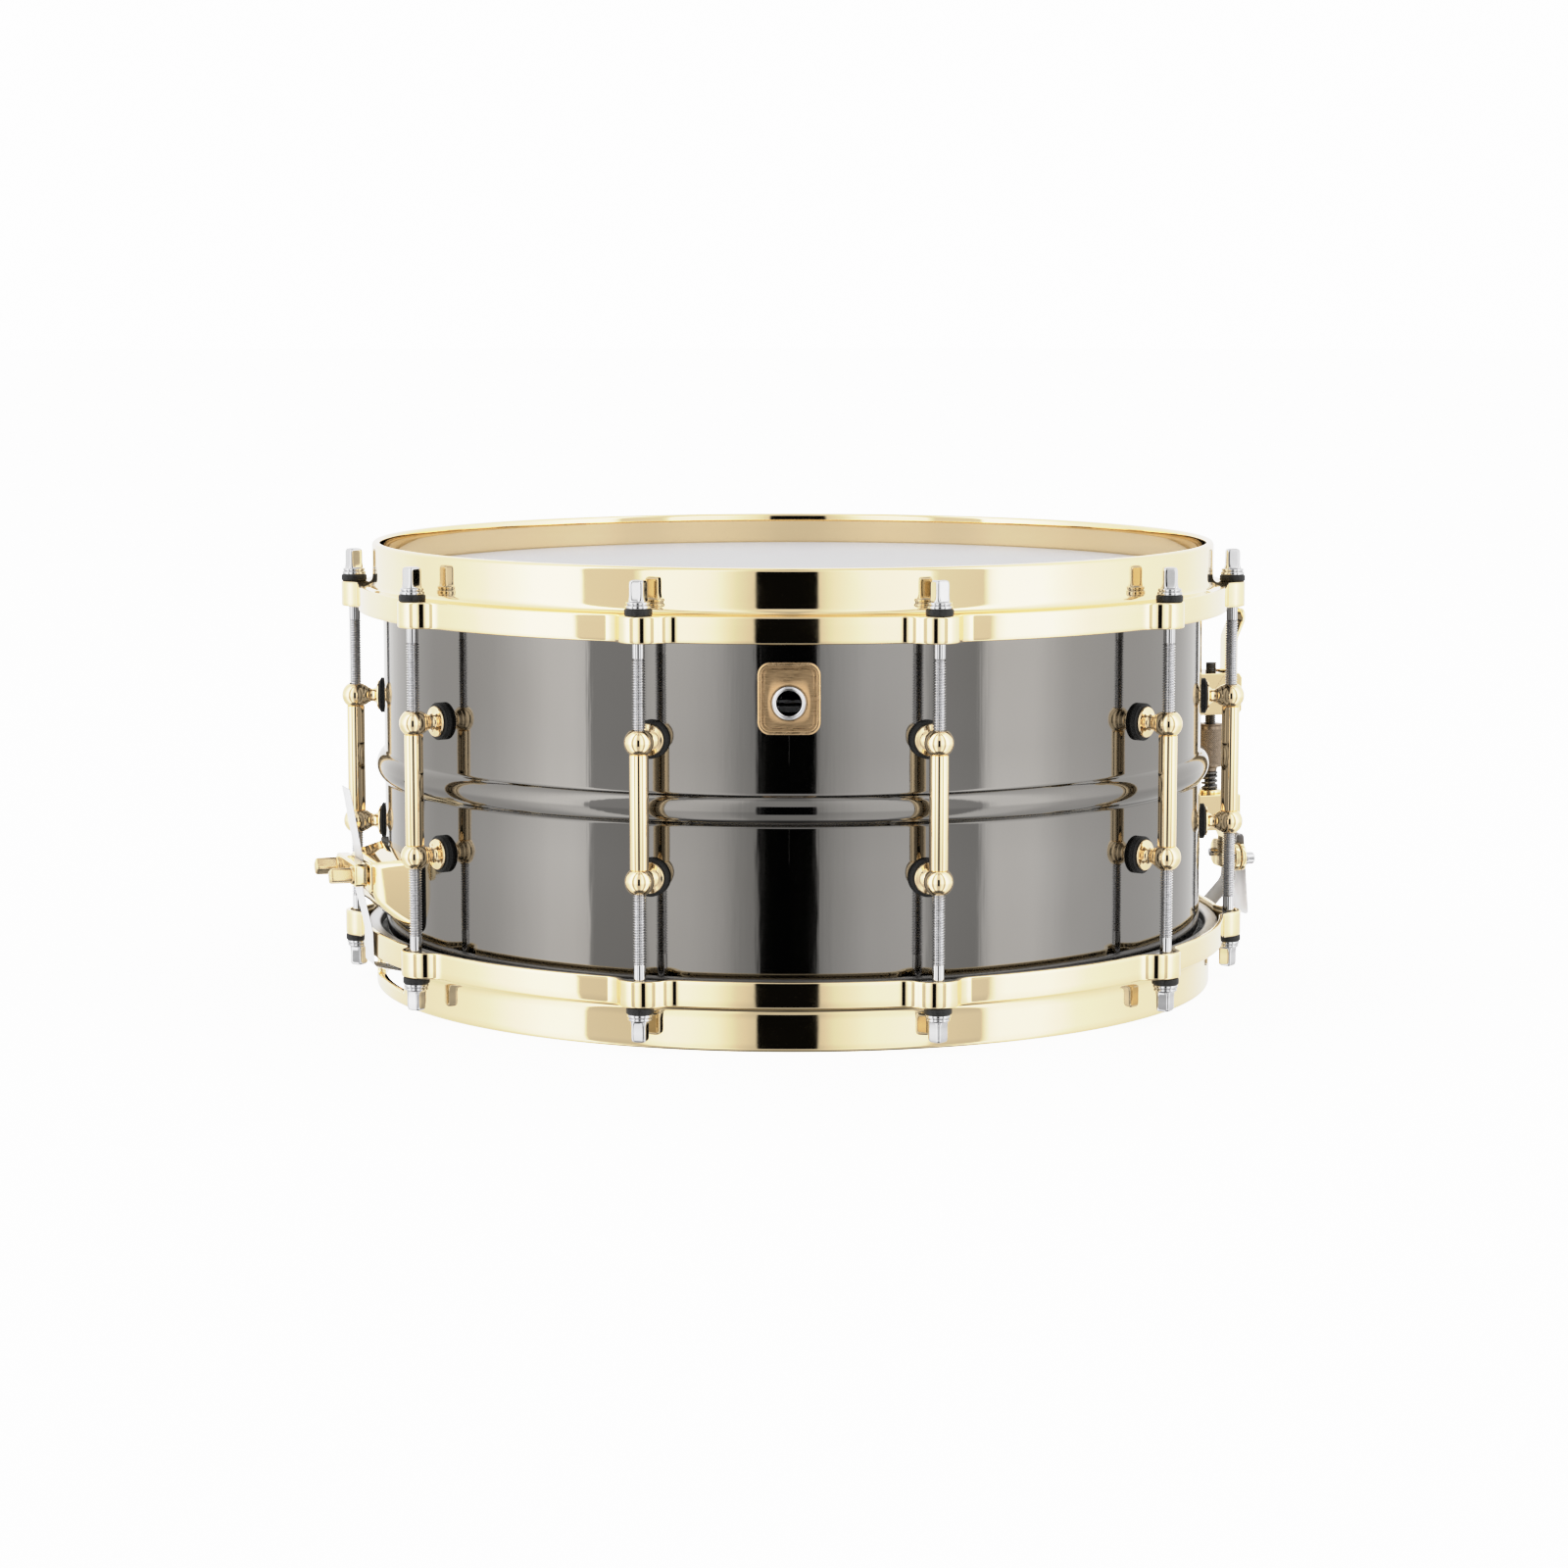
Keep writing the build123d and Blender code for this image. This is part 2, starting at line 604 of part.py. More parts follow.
with BuildPart() as throw_lever:
    with BuildSketch(sec):
        with BuildLine():
            FilletPolyline((205.4, 119.0), (206.0, 130.0), (206.0, 143.6), (209.6, 151.6),
                           (209.9, 157.0), radius=5.5)
        trace(line_width=2.3)
    extrude(amount=8, both=True)
    with BuildSketch(radial_plane(SA, 198, 130)) as lever_face:
        RectangleRounded(16, 54, 4.0)
    extrude(amount=20, mode=Mode.INTERSECT)
    with BuildSketch(sec):
        with Locations((pin_R, pin_z)):
            Circle(4.4)
    extrude(amount=8, both=True)
    with BuildSketch(sec):
        with Locations((pin_R, pin_z)):
            Circle(1.56)
    extrude(amount=9, both=True, mode=Mode.SUBTRACT)
save(throw_lever, "throw_lever")

with BuildPart() as lever_pin:
    with BuildSketch(sec):
        with Locations((pin_R, pin_z)):
            Circle(1.5)
    extrude(amount=11, both=True)
    for side in (-1, 1):
        with BuildSketch(section_plane(SA, side * 11.4)):
            with Locations((pin_R, pin_z)):
                Circle(2.3)
        extrude(amount=0.4, both=True)
save(lever_pin, "lever_pin")

with BuildPart() as adjust_screw:
    with BuildSketch(level_plane(SA, screw_col_r, 58.5)):
        Circle(adjust_r)
    extrude(amount=132.8 - 58.5)
    chamfer(adjust_screw.edges().sort_by(Axis.Z)[-1], length=0.5)
save(adjust_screw, "adjust_screw")


def column_profile(points):
    """Closed profile about the strainer's screw: (radius about the screw, height)."""
    with BuildSketch(section_plane(SA)) as sk:
        with BuildLine():
            Polyline(*[(screw_col_r + r, z) for r, z in points], close=True)
        make_face()
    return sk.sketch


t = radians(SA)
screw_axis = Axis((screw_col_r * sin(t), -screw_col_r * cos(t), 0), (0, 0, 1))

with BuildPart() as adjust_knob:
    add(column_profile([(adjust_r + 0.07, 83.0), (3.1, 83.0), (3.4, 84.6), (5.0, 85.2),
                        (5.4, 86.0), (5.4, 103.2), (5.2, 103.9), (5.6, 104.1), (5.6, 104.7),
                        (adjust_r + 0.07, 104.7)]))
    revolve(axis=screw_axis)
save(adjust_knob, "adjust_knob")

with BuildPart() as adjust_spring:
    add(column_profile([(2.75, 74.9), (3.6, 74.9), (3.6, 83.0), (2.75, 83.0)]))
    revolve(axis=screw_axis)
save(adjust_spring, "adjust_spring")

with BuildPart() as spring_washer:
    add(column_profile([(2.7, 73.2), (5.2, 73.2), (5.2, 74.4), (4.7, 74.9), (2.7, 74.9)]))
    revolve(axis=screw_axis)
save(spring_washer, "spring_washer")

with BuildPart() as clamp_block:
    with BuildSketch(sec) as block_side:
        with BuildLine():
            Polyline((rail_r + 0.3, 57.0), (200.6, 57.0), (203.2, 55.6), (204.4, 53.0),
                     (204.4, 45.0), (206.9, 45.0), (206.9, 57.6), (209.0, 59.0), (209.0, 72.2),
                     (208.0, 73.2), (rail_r + 0.3, 73.2), close=True)
        make_face()
    extrude(amount=6.5, both=True)
    with BuildSketch(sec):
        with BuildLine():
            Polyline((rail_r + 0.3, 57.0), (209.0, 57.0), (209.0, 72.2), (208.0, 73.2),
                     (rail_r + 0.3, 73.2), close=True)
        make_face()
    extrude(amount=9, both=True)
    # tongue in the rail's groove
    with BuildSketch(sec):
        with Locations((rail_r - 0.9, 65.1)):
            Rectangle(2.6, 16.2)
    extrude(amount=3.0, both=True)
    # fixed jaw
    with BuildSketch(radial_plane(SA, 204.4, 44.75)):
        RectangleRounded(30, 12.5, 5.5)
    extrude(amount=2.5)
    with BuildSketch(level_plane(SA, screw_col_r, 50)):
        Circle(adjust_r + 0.09)
    extrude(amount=30, mode=Mode.SUBTRACT)
    for s in (-11.5, 11.5):
        with BuildSketch(radial_plane(SA, 200, 44.3)):
            with Locations((s, 0)):
                Circle(1.95)
        extrude(amount=10, mode=Mode.SUBTRACT)
save(clamp_block, "clamp_block")

with BuildPart() as strainer_clamp_plate:
    with BuildSketch(radial_plane(SA, 207.4, 44.75)):
        RectangleRounded(30, 12.5, 5.5)
        with Locations((-11.5, -0.45), (11.5, -0.45)):
            Circle(2.1, mode=Mode.SUBTRACT)
    extrude(amount=2.4)
    fillet(strainer_clamp_plate.faces().filter_by(GeomType.PLANE).sort_by(
        lambda f: hypot(f.center().X, f.center().Y))[-1].outer_wire().edges(), radius=0.5)
save(strainer_clamp_plate, "strainer_clamp_plate")

with BuildPart() as strainer_clamp_screws:
    for s in (-11.5, 11.5):
        with BuildSketch(radial_plane(SA, 202.6, 44.3)):
            with Locations((s, 0)):
                Circle(1.9)
        extrude(amount=8)
        with BuildSketch(radial_plane(SA, 209.8, 44.3)):
            with Locations((s, 0)):
                Circle(3.15)
        extrude(amount=0.9)
        with BuildSketch(radial_plane(SA, 210.7, 44.3)):
            with Locations((s, 0)):
                Circle(2.75)
        extrude(amount=3.5)
        with BuildSketch(radial_plane(SA, 214.2, 44.3)):
            with Locations((s, 0)):
                Rectangle(4.0, 0.9)
        extrude(amount=-1.3, mode=Mode.SUBTRACT)
save(strainer_clamp_screws, "strainer_clamp_screws")

with BuildPart() as strainer_strap:
    with BuildSketch(sec):
        with BuildLine():
            FilletPolyline((160, lap_z), (174, lap_z), (189.3, 14.6), (207.15, 33.2),
                           (207.15, 55.0), (210.9, 55.0), (213.7, 17.8),
                           radius=[15, 4, 7, 1.6, 1.6])
        trace(line_width=strap_t)
    extrude(amount=8.0, both=True)
save(strainer_strap, "strainer_strap")

# ---------------------------------------------------------------------------
# Butt plate
# ---------------------------------------------------------------------------
BA = butt_angle
bsec = section_plane(BA)
butt_gasket_t = 2.2
nose_r = 192.6

with BuildPart() as butt_body:
    with BuildSketch(radial_plane(BA, 170.0, 48.5)) as butt_base:
        RectangleRounded(76, 31.5, 5.0)
    with BuildSketch(radial_plane(BA, 182.0, 49.6)) as butt_mid:
        RectangleRounded(60, 25.5, 4.0)
    with BuildSketch(radial_plane(BA, nose_r, 54.0)) as butt_nose:
        RectangleRounded(40.5, 13.0, 2.2)
    loft()
    with BuildSketch(Plane.XY.offset(20)):
        Circle(R + butt_gasket_t)
    extrude(amount=60, mode=Mode.SUBTRACT)
    for s in (-15.5, 15.5):
        with BuildSketch(radial_plane(BA, nose_r - 8, 55.2)):
            with Locations((s, 0)):
                Circle(1.95)
        extrude(amount=10, mode=Mode.SUBTRACT)
    for a in (BA - 7.5, BA + 7.5):
        with BuildSketch(radial_plane(a, R, 49)):
            Circle(2.0)
        extrude(amount=6.6, mode=Mode.SUBTRACT)
save(butt_body, "butt_body")

with BuildPart() as butt_gasket:
    with BuildSketch(radial_plane(BA, R - 10, 48.4)):
        RectangleRounded(72.5, 32.5, 5.5)
    extrude(amount=16)
    with BuildSketch(Plane.XY.offset(20)):
        Circle(R + butt_gasket_t)
        Circle(R, mode=Mode.SUBTRACT)
    extrude(amount=60, mode=Mode.INTERSECT)
    for a in (BA - 7.5, BA + 7.5):
        with BuildSketch(radial_plane(a, R - 5, 49)):
            Circle(2.2)
        extrude(amount=12, mode=Mode.SUBTRACT)
save(butt_gasket, "butt_gasket")

with BuildPart() as butt_clamp_plate:
    with BuildSketch(radial_plane(BA, 193.2, 55.5)):
        RectangleRounded(40, 9.7, 2.0)
        with Locations((-15.5, -0.3), (15.5, -0.3)):
            Circle(2.1, mode=Mode.SUBTRACT)
    extrude(amount=5.6)
    fillet(butt_clamp_plate.faces().filter_by(GeomType.PLANE).sort_by(
        lambda f: hypot(f.center().X, f.center().Y))[-1].outer_wire().edges(), radius=0.8)
save(butt_clamp_plate, "butt_clamp_plate")

with BuildPart() as butt_clamp_screws:
    for s in (-15.5, 15.5):
        with BuildSketch(radial_plane(BA, nose_r - 7.5, 55.2)):
            with Locations((s, 0)):
                Circle(1.9)
        extrude(amount=14)
        with BuildSketch(radial_plane(BA, 198.8, 55.2)):
            with Locations((s, 0)):
                Circle(3.9)
        extrude(amount=0.9)
        with BuildSketch(radial_plane(BA, 199.7, 55.2)) as sq:
            with Locations((s, 0)):
                RectangleRounded(5.8, 5.8, 0.9, rotation=20 if s > 0 else 38)
        extrude(amount=9.2)
    fillet([e for e in butt_clamp_screws.edges() if radial_height(e, BA) > 208.89], radius=0.7)
save(butt_clamp_screws, "butt_clamp_screws")

with BuildPart() as butt_strap:
    with BuildSketch(bsec):
        with BuildLine():
            FilletPolyline((198.1, 90.5), (192.9, 61.6), (192.9, 46.6), (188.9, 29.5),
                           (188.75, 14.9), (174, lap_z), (160, lap_z),
                           radius=[12, 12, 20, 2.4, 15])
        trace(line_width=strap_t)
    extrude(amount=strap_half, both=True)
save(butt_strap, "butt_strap")

# ---------------------------------------------------------------------------
# Snare wires under the snare head
# ---------------------------------------------------------------------------
wire_z = 12.3
wire_pitch = 2.1
with BuildPart() as snare_strands:
    with BuildSketch(radial_plane(SA, -snare_half_len, wire_z)):
        with GridLocations(wire_pitch, 1, 20, 1):
            Circle(0.9)
    extrude(amount=2 * snare_half_len)
save(snare_strands, "snare_strands")

with BuildPart() as snare_end_plates:
    for r0 in (-snare_half_len - 12, snare_half_len):
        with BuildSketch(section_plane(SA)):
            with Locations((r0 + 6, wire_z + 0.2)):
                Rectangle(12, 1.4)
        extrude(amount=21.2, both=True)
save(snare_end_plates, "snare_end_plates")
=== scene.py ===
import json
import math
import random

import bmesh
import bpy
import numpy as np
from mathutils import Matrix, Vector


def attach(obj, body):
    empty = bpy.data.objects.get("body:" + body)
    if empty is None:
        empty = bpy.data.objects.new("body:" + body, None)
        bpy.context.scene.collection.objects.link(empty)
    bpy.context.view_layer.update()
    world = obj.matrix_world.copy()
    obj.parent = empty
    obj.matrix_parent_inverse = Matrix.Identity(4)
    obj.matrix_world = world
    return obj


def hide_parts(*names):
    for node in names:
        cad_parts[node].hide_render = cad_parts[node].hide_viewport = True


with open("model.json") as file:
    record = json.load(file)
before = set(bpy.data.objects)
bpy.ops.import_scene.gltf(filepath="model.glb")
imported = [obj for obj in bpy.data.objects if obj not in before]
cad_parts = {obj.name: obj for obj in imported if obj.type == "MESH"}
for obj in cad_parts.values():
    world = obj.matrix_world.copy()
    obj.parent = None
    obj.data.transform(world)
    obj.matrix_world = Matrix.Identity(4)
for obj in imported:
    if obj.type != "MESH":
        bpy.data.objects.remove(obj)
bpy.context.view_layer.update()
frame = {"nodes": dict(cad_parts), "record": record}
nodes = frame["nodes"]
random.seed(7)
rng = np.random.default_rng(7)
scene = bpy.context.scene
MM = 0.001
PI2 = 2 * math.pi

# ---------------------------------------------------------------------------
# Dimensions, in millimetres, as the frame has them
# ---------------------------------------------------------------------------
R = 177.3
TOP = 192.1
MID = TOP / 2
BALL_Z = (MID - 27.55, MID + 27.55)
ROD_R = 190.8
LUGS = [18 + 36 * k for k in range(10)]
FT, FB = 173.7, 162.8            # batter hoop flange, top and underside
SA, BA = 108.0, -72.0            # strainer and butt plate angles


# ---------------------------------------------------------------------------
# Materials
# ---------------------------------------------------------------------------
class Nodes:
    def __init__(self, name):
        self.mat = bpy.data.materials.new(name)
        self.mat.use_nodes = True
        self.t = self.mat.node_tree
        self.t.nodes.clear()
        self.out = self.t.nodes.new("ShaderNodeOutputMaterial")
        self.p = self.t.nodes.new("ShaderNodeBsdfPrincipled")
        self.t.links.new(self.p.outputs[0], self.out.inputs[0])
        self.co = self.t.nodes.new("ShaderNodeTexCoord").outputs["Object"]

    def node(self, kind, **kw):
        n = self.t.nodes.new(kind)
        for k, v in kw.items():
            if k in n.inputs:
                n.inputs[k].default_value = v
            else:
                setattr(n, k, v)
        return n

    def link(self, a, b):
        self.t.links.new(a, b)

    def scaled(self, sx, sy, sz, co=None):
        m = self.node("ShaderNodeMapping")
        m.inputs["Scale"].default_value = (sx, sy, sz)
        self.link(co or self.co, m.inputs["Vector"])
        return m.outputs[0]

    def noise(self, scale, detail=2.0, rough=0.5, co=None, distortion=0.0):
        n = self.node("ShaderNodeTexNoise", Scale=scale, Detail=detail, Roughness=rough,
                      Distortion=distortion)
        self.link(co or self.co, n.inputs["Vector"])
        return n.outputs[0]

    def ramp(self, fac, lo, hi, a=0.0, b=1.0):
        n = self.node("ShaderNodeMapRange")
        n.inputs["From Min"].default_value = lo
        n.inputs["From Max"].default_value = hi
        n.inputs["To Min"].default_value = a
        n.inputs["To Max"].default_value = b
        self.link(fac, n.inputs["Value"])
        return n.outputs[0]

    def mix(self, fac, c1, c2):
        n = self.node("ShaderNodeMix", data_type="RGBA")
        n.inputs[6].default_value = (*c1, 1)
        n.inputs[7].default_value = (*c2, 1)
        self.link(fac, n.inputs[0])
        return n.outputs[2]

    def math(self, op, a, b=None):
        n = self.node("ShaderNodeMath", operation=op)
        for i, v in enumerate((a, b)):
            if v is None:
                continue
            if isinstance(v, (int, float)):
                n.inputs[i].default_value = v
            else:
                self.link(v, n.inputs[i])
        return n.outputs[0]

    def bump(self, height, strength, distance, normal=None):
        n = self.node("ShaderNodeBump", Strength=strength, Distance=distance)
        self.link(height, n.inputs["Height"])
        if normal is not None:
            self.link(normal, n.inputs["Normal"])
        return n.outputs[0]

    def around(self, scale_t, scale_z):
        """Coordinates wrapped round the drum's axis, for marks that run round it."""
        s = self.node("ShaderNodeSeparateXYZ")
        self.link(self.co, s.inputs[0])
        a = self.math("ARCTAN2", s.outputs[0], s.outputs[1])
        c = self.node("ShaderNodeCombineXYZ")
        self.link(self.math("MULTIPLY", a, scale_t), c.inputs[0])
        self.link(self.math("MULTIPLY", s.outputs[2], scale_z), c.inputs[2])
        return c.outputs[0]


def set_p(m, color=None, metallic=0.0, rough=0.4, ior=1.5, coat=0.0, coat_rough=0.05, spec=0.5):
    p = m.p
    if color is not None:
        p.inputs["Base Color"].default_value = (*color, 1)
    p.inputs["Metallic"].default_value = metallic
    p.inputs["Roughness"].default_value = rough
    p.inputs["IOR"].default_value = ior
    p.inputs["Coat Weight"].default_value = coat
    p.inputs["Coat Roughness"].default_value = coat_rough
    p.inputs["Specular IOR Level"].default_value = spec


def black_nickel():
    m = Nodes("black_nickel")
    set_p(m, metallic=1.0)
    wide = m.noise(9.0, 3)
    m.link(m.mix(m.ramp(wide, 0.35, 0.7), (0.205, 0.196, 0.185), (0.225, 0.218, 0.210)),
           m.p.inputs["Base Color"])
    streak = m.noise(1.0, 4, co=m.around(26.0, 9.0))
    fine = m.noise(1.0, 2, co=m.around(3.0, 5200.0))
    m.link(m.math("ADD", m.ramp(streak, 0.3, 0.75, 0.035, 0.075),
                  m.ramp(fine, 0.3, 0.7, 0.0, 0.012)), m.p.inputs["Roughness"])
    ripple = m.noise(1.0, 2, co=m.around(30.0, 26.0))
    hair = m.noise(1.0, 3, co=m.around(190.0, 7.0))
    m.link(m.bump(hair, 0.05, 0.00008, m.bump(fine, 0.02, 0.00002, m.bump(ripple, 0.10, 0.0003))),
           m.p.inputs["Normal"])
    return m.mat


def gold(name, c1=(0.940, 0.757, 0.462), c2=(0.955, 0.780, 0.497), rough=(0.028, 0.06), wave=0.05):
    m = Nodes(name)
    set_p(m, metallic=1.0)
    m.link(m.mix(m.ramp(m.noise(14.0, 3), 0.35, 0.7), c1, c2), m.p.inputs["Base Color"])
    smudge = m.noise(60.0, 5, 0.6)
    specks = m.noise(900.0, 2)
    m.link(m.math("ADD", m.ramp(smudge, 0.35, 0.75, *rough), m.ramp(specks, 0.62, 0.8, 0.0, 0.03)),
           m.p.inputs["Roughness"])
    m.link(m.bump(specks, 0.03, 0.00002, m.bump(m.noise(38.0, 2), wave, 0.0006)),
           m.p.inputs["Normal"])
    return m.mat


def chrome(name, c=(0.60, 0.60, 0.61), rough=(0.04, 0.09)):
    m = Nodes(name)
    set_p(m, metallic=1.0)
    m.link(m.mix(m.ramp(m.noise(300.0, 3), 0.35, 0.7), tuple(v * 0.96 for v in c), c),
           m.p.inputs["Base Color"])
    m.link(m.ramp(m.noise(450.0, 3), 0.3, 0.75, *rough), m.p.inputs["Roughness"])
    m.link(m.bump(m.noise(700.0, 2), 0.05, 0.00004), m.p.inputs["Normal"])
    return m.mat


def satin_metal(name, c1, c2, rough=(0.28, 0.42), grain=(900, 900, 60), strength=0.25):
    m = Nodes(name)
    set_p(m, metallic=1.0)
    line = m.noise(1.0, 3, co=m.scaled(*grain))
    m.link(m.mix(m.ramp(line, 0.3, 0.7), c1, c2), m.p.inputs["Base Color"])
    m.link(m.ramp(line, 0.3, 0.7, *rough), m.p.inputs["Roughness"])
    m.link(m.bump(line, strength, 0.00003), m.p.inputs["Normal"])
    return m.mat


def spun_aluminium():
    m = Nodes("satin_aluminium")
    set_p(m, metallic=1.0)
    line = m.noise(1.0, 3, co=m.around(4.0, 3000.0))
    m.link(m.mix(m.ramp(line, 0.3, 0.7), (0.42, 0.42, 0.43), (0.60, 0.60, 0.61)),
           m.p.inputs["Base Color"])
    m.link(m.ramp(line, 0.3, 0.7, 0.3, 0.42), m.p.inputs["Roughness"])
    m.link(m.bump(line, 0.3, 0.00003), m.p.inputs["Normal"])
    return m.mat


def rubber(name, c=(0.007, 0.007, 0.007), rough=(0.42, 0.62)):
    m = Nodes(name)
    set_p(m, ior=1.5, spec=0.28)
    g = m.noise(1500.0, 4, 0.6)
    m.link(m.mix(m.ramp(g, 0.35, 0.7), tuple(v * 0.6 for v in c), tuple(v * 1.5 for v in c)),
           m.p.inputs["Base Color"])
    m.link(m.ramp(g, 0.3, 0.7, *rough), m.p.inputs["Roughness"])
    m.link(m.bump(g, 0.3, 0.00005), m.p.inputs["Normal"])
    return m.mat


def coated():
    """Sprayed matt white coating with painted shade: its colour is set to a grey well below the white film's own,
    standing in for the shade on the head inside the hoop. A fine grain with slightly heavier drops in it.
    """
    m = Nodes("coated_film")
    set_p(m, rough=0.6, ior=1.46)
    fine = m.noise(1500.0, 4, 0.65)
    drops = m.node("ShaderNodeTexVoronoi", Scale=620.0)
    m.link(m.co, drops.inputs["Vector"])
    cloud = m.noise(7.0, 4)
    # painted shade: both greys sit well below the white coating's own colour, for the shade on the head inside the
    # hoop; the cloud noise between them is random tone
    m.link(m.mix(m.ramp(cloud, 0.3, 0.7), (0.425, 0.422, 0.434), (0.455, 0.452, 0.464)),
           m.p.inputs["Base Color"])
    m.link(m.ramp(fine, 0.3, 0.7, 0.45, 0.7), m.p.inputs["Roughness"])
    h = m.math("ADD", fine, m.ramp(drops.outputs["Distance"], 0.0, 0.5, 0.5, 0.0))
    m.link(m.bump(h, 0.5, 0.00008), m.p.inputs["Normal"])
    return m.mat


def clear_film():
    m = Nodes("clear_film")
    set_p(m, rough=0.18, ior=1.57)
    m.link(m.mix(m.ramp(m.noise(10.0, 3), 0.3, 0.7), (0.62, 0.64, 0.66), (0.70, 0.72, 0.74)),
           m.p.inputs["Base Color"])
    m.link(m.ramp(m.noise(80.0, 4), 0.3, 0.7, 0.12, 0.24), m.p.inputs["Roughness"])
    m.p.inputs["Transmission Weight"].default_value = 0.25
    m.link(m.bump(m.noise(25.0, 2), 0.05, 0.0005), m.p.inputs["Normal"])
    return m.mat


def strap():
    m = Nodes("white_strap")
    set_p(m, rough=0.38, ior=1.5)
    g = m.noise(1.0, 3, co=m.scaled(350, 350, 60))
    m.link(m.mix(m.ramp(g, 0.3, 0.7), (0.52, 0.52, 0.53), (0.62, 0.62, 0.635)),
           m.p.inputs["Base Color"])
    m.link(m.ramp(m.noise(500.0, 3), 0.3, 0.7, 0.3, 0.48), m.p.inputs["Roughness"])
    m.p.inputs["Transmission Weight"].default_value = 0.12
    m.link(m.bump(g, 0.2, 0.00005), m.p.inputs["Normal"])
    return m.mat


M = {
    "black_nickel": black_nickel(),
    "gold_plate": gold("gold_plate"),
    "polished_brass": gold("polished_brass", (0.930, 0.735, 0.465), (0.950, 0.760, 0.500),
                           rough=(0.03, 0.06), wave=0.02),
    "worn_brass": satin_metal("worn_brass", (0.70, 0.55, 0.33), (0.82, 0.66, 0.42),
                              rough=(0.20, 0.32), grain=(420, 420, 420), strength=0.25),
    "chrome": chrome("chrome"),
    "cut_thread": satin_metal("cut_thread", (0.52, 0.52, 0.53), (0.70, 0.70, 0.715),
                              rough=(0.16, 0.30), grain=(500, 500, 1800), strength=0.3),
    "satin_bronze": satin_metal("satin_bronze", (0.46, 0.30, 0.155), (0.58, 0.40, 0.22),
                                rough=(0.26, 0.40), grain=(260, 260, 2600), strength=0.35),
    "bronze_edge": satin_metal("bronze_edge", (0.66, 0.45, 0.24), (0.74, 0.52, 0.30),
                               rough=(0.2, 0.3), grain=(400, 400, 400), strength=0.1),
    "satin_aluminium": spun_aluminium(),
    "black_rubber": rubber("black_rubber"),
    "black_nylon": rubber("black_nylon", (0.010, 0.010, 0.010), (0.30, 0.42)),
    "coated_film": coated(),
    "clear_film": clear_film(),
    "zinc_steel": satin_metal("zinc_steel", (0.50, 0.50, 0.50), (0.62, 0.62, 0.62),
                              grain=(700, 700, 700)),
    "dark_steel": satin_metal("dark_steel", (0.13, 0.125, 0.12), (0.20, 0.195, 0.19),
                              rough=(0.22, 0.36), grain=(800, 800, 800)),
    "bronze_knurl": satin_metal("bronze_knurl", (0.24, 0.185, 0.135), (0.34, 0.27, 0.205),
                                rough=(0.26, 0.40), grain=(700, 700, 700), strength=0.15),
    "snare_steel": chrome("snare_steel", (0.62, 0.62, 0.63), (0.14, 0.24)),
    "white_strap": strap(),
}


# ---------------------------------------------------------------------------
# Mesh tools.  Everything is made in millimetres and stored in metres.
# ---------------------------------------------------------------------------
def signed_volume(v, faces):
    total = 0.0
    tri = [(f[0], f[i], f[i + 1]) for f in faces for i in range(1, len(f) - 1)]
    t = np.array(tri)
    a, b, c = v[t[:, 0]], v[t[:, 1]], v[t[:, 2]]
    total = np.einsum("ij,ij->i", a, np.cross(b, c)).sum()
    return total


class Mesh:
    """Collects closed lumps into one piece."""

    def __init__(self):
        self.v, self.f, self.n, self.m = [], [], 0, []

    def add(self, verts, faces, material=0, orient=True):
        verts = np.asarray(verts, float)
        faces = [tuple(f) for f in faces]
        if orient and signed_volume(verts, faces) < 0:
            faces = [f[::-1] for f in faces]
        self.v.append(verts)
        self.f.extend(tuple(i + self.n for i in f) for f in faces)
        self.m.extend([material] * len(faces))
        self.n += len(verts)
        return self

    def object(self, name, mats, sharp=32.0, weighted=False):
        me = bpy.data.meshes.new(name)
        me.from_pydata((np.concatenate(self.v) * MM).tolist(), [], self.f)
        mats = mats if isinstance(mats, (list, tuple)) else [mats]
        for x in mats:
            me.materials.append(x)
        me.polygons.foreach_set("material_index", self.m)
        me.polygons.foreach_set("use_smooth", [True] * len(me.polygons))
        me.set_sharp_from_angle(angle=math.radians(sharp))
        me.update()
        o = bpy.data.objects.new(name, me)
        scene.collection.objects.link(o)
        if weighted:
            w = o.modifiers.new("weighted", "WEIGHTED_NORMAL")
            w.keep_sharp = True
            w.weight = 50
        return o


def place(o, body, replaces=()):
    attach(o, body)
    if replaces:
        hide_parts(*([replaces] if isinstance(replaces, str) else replaces))
    return o


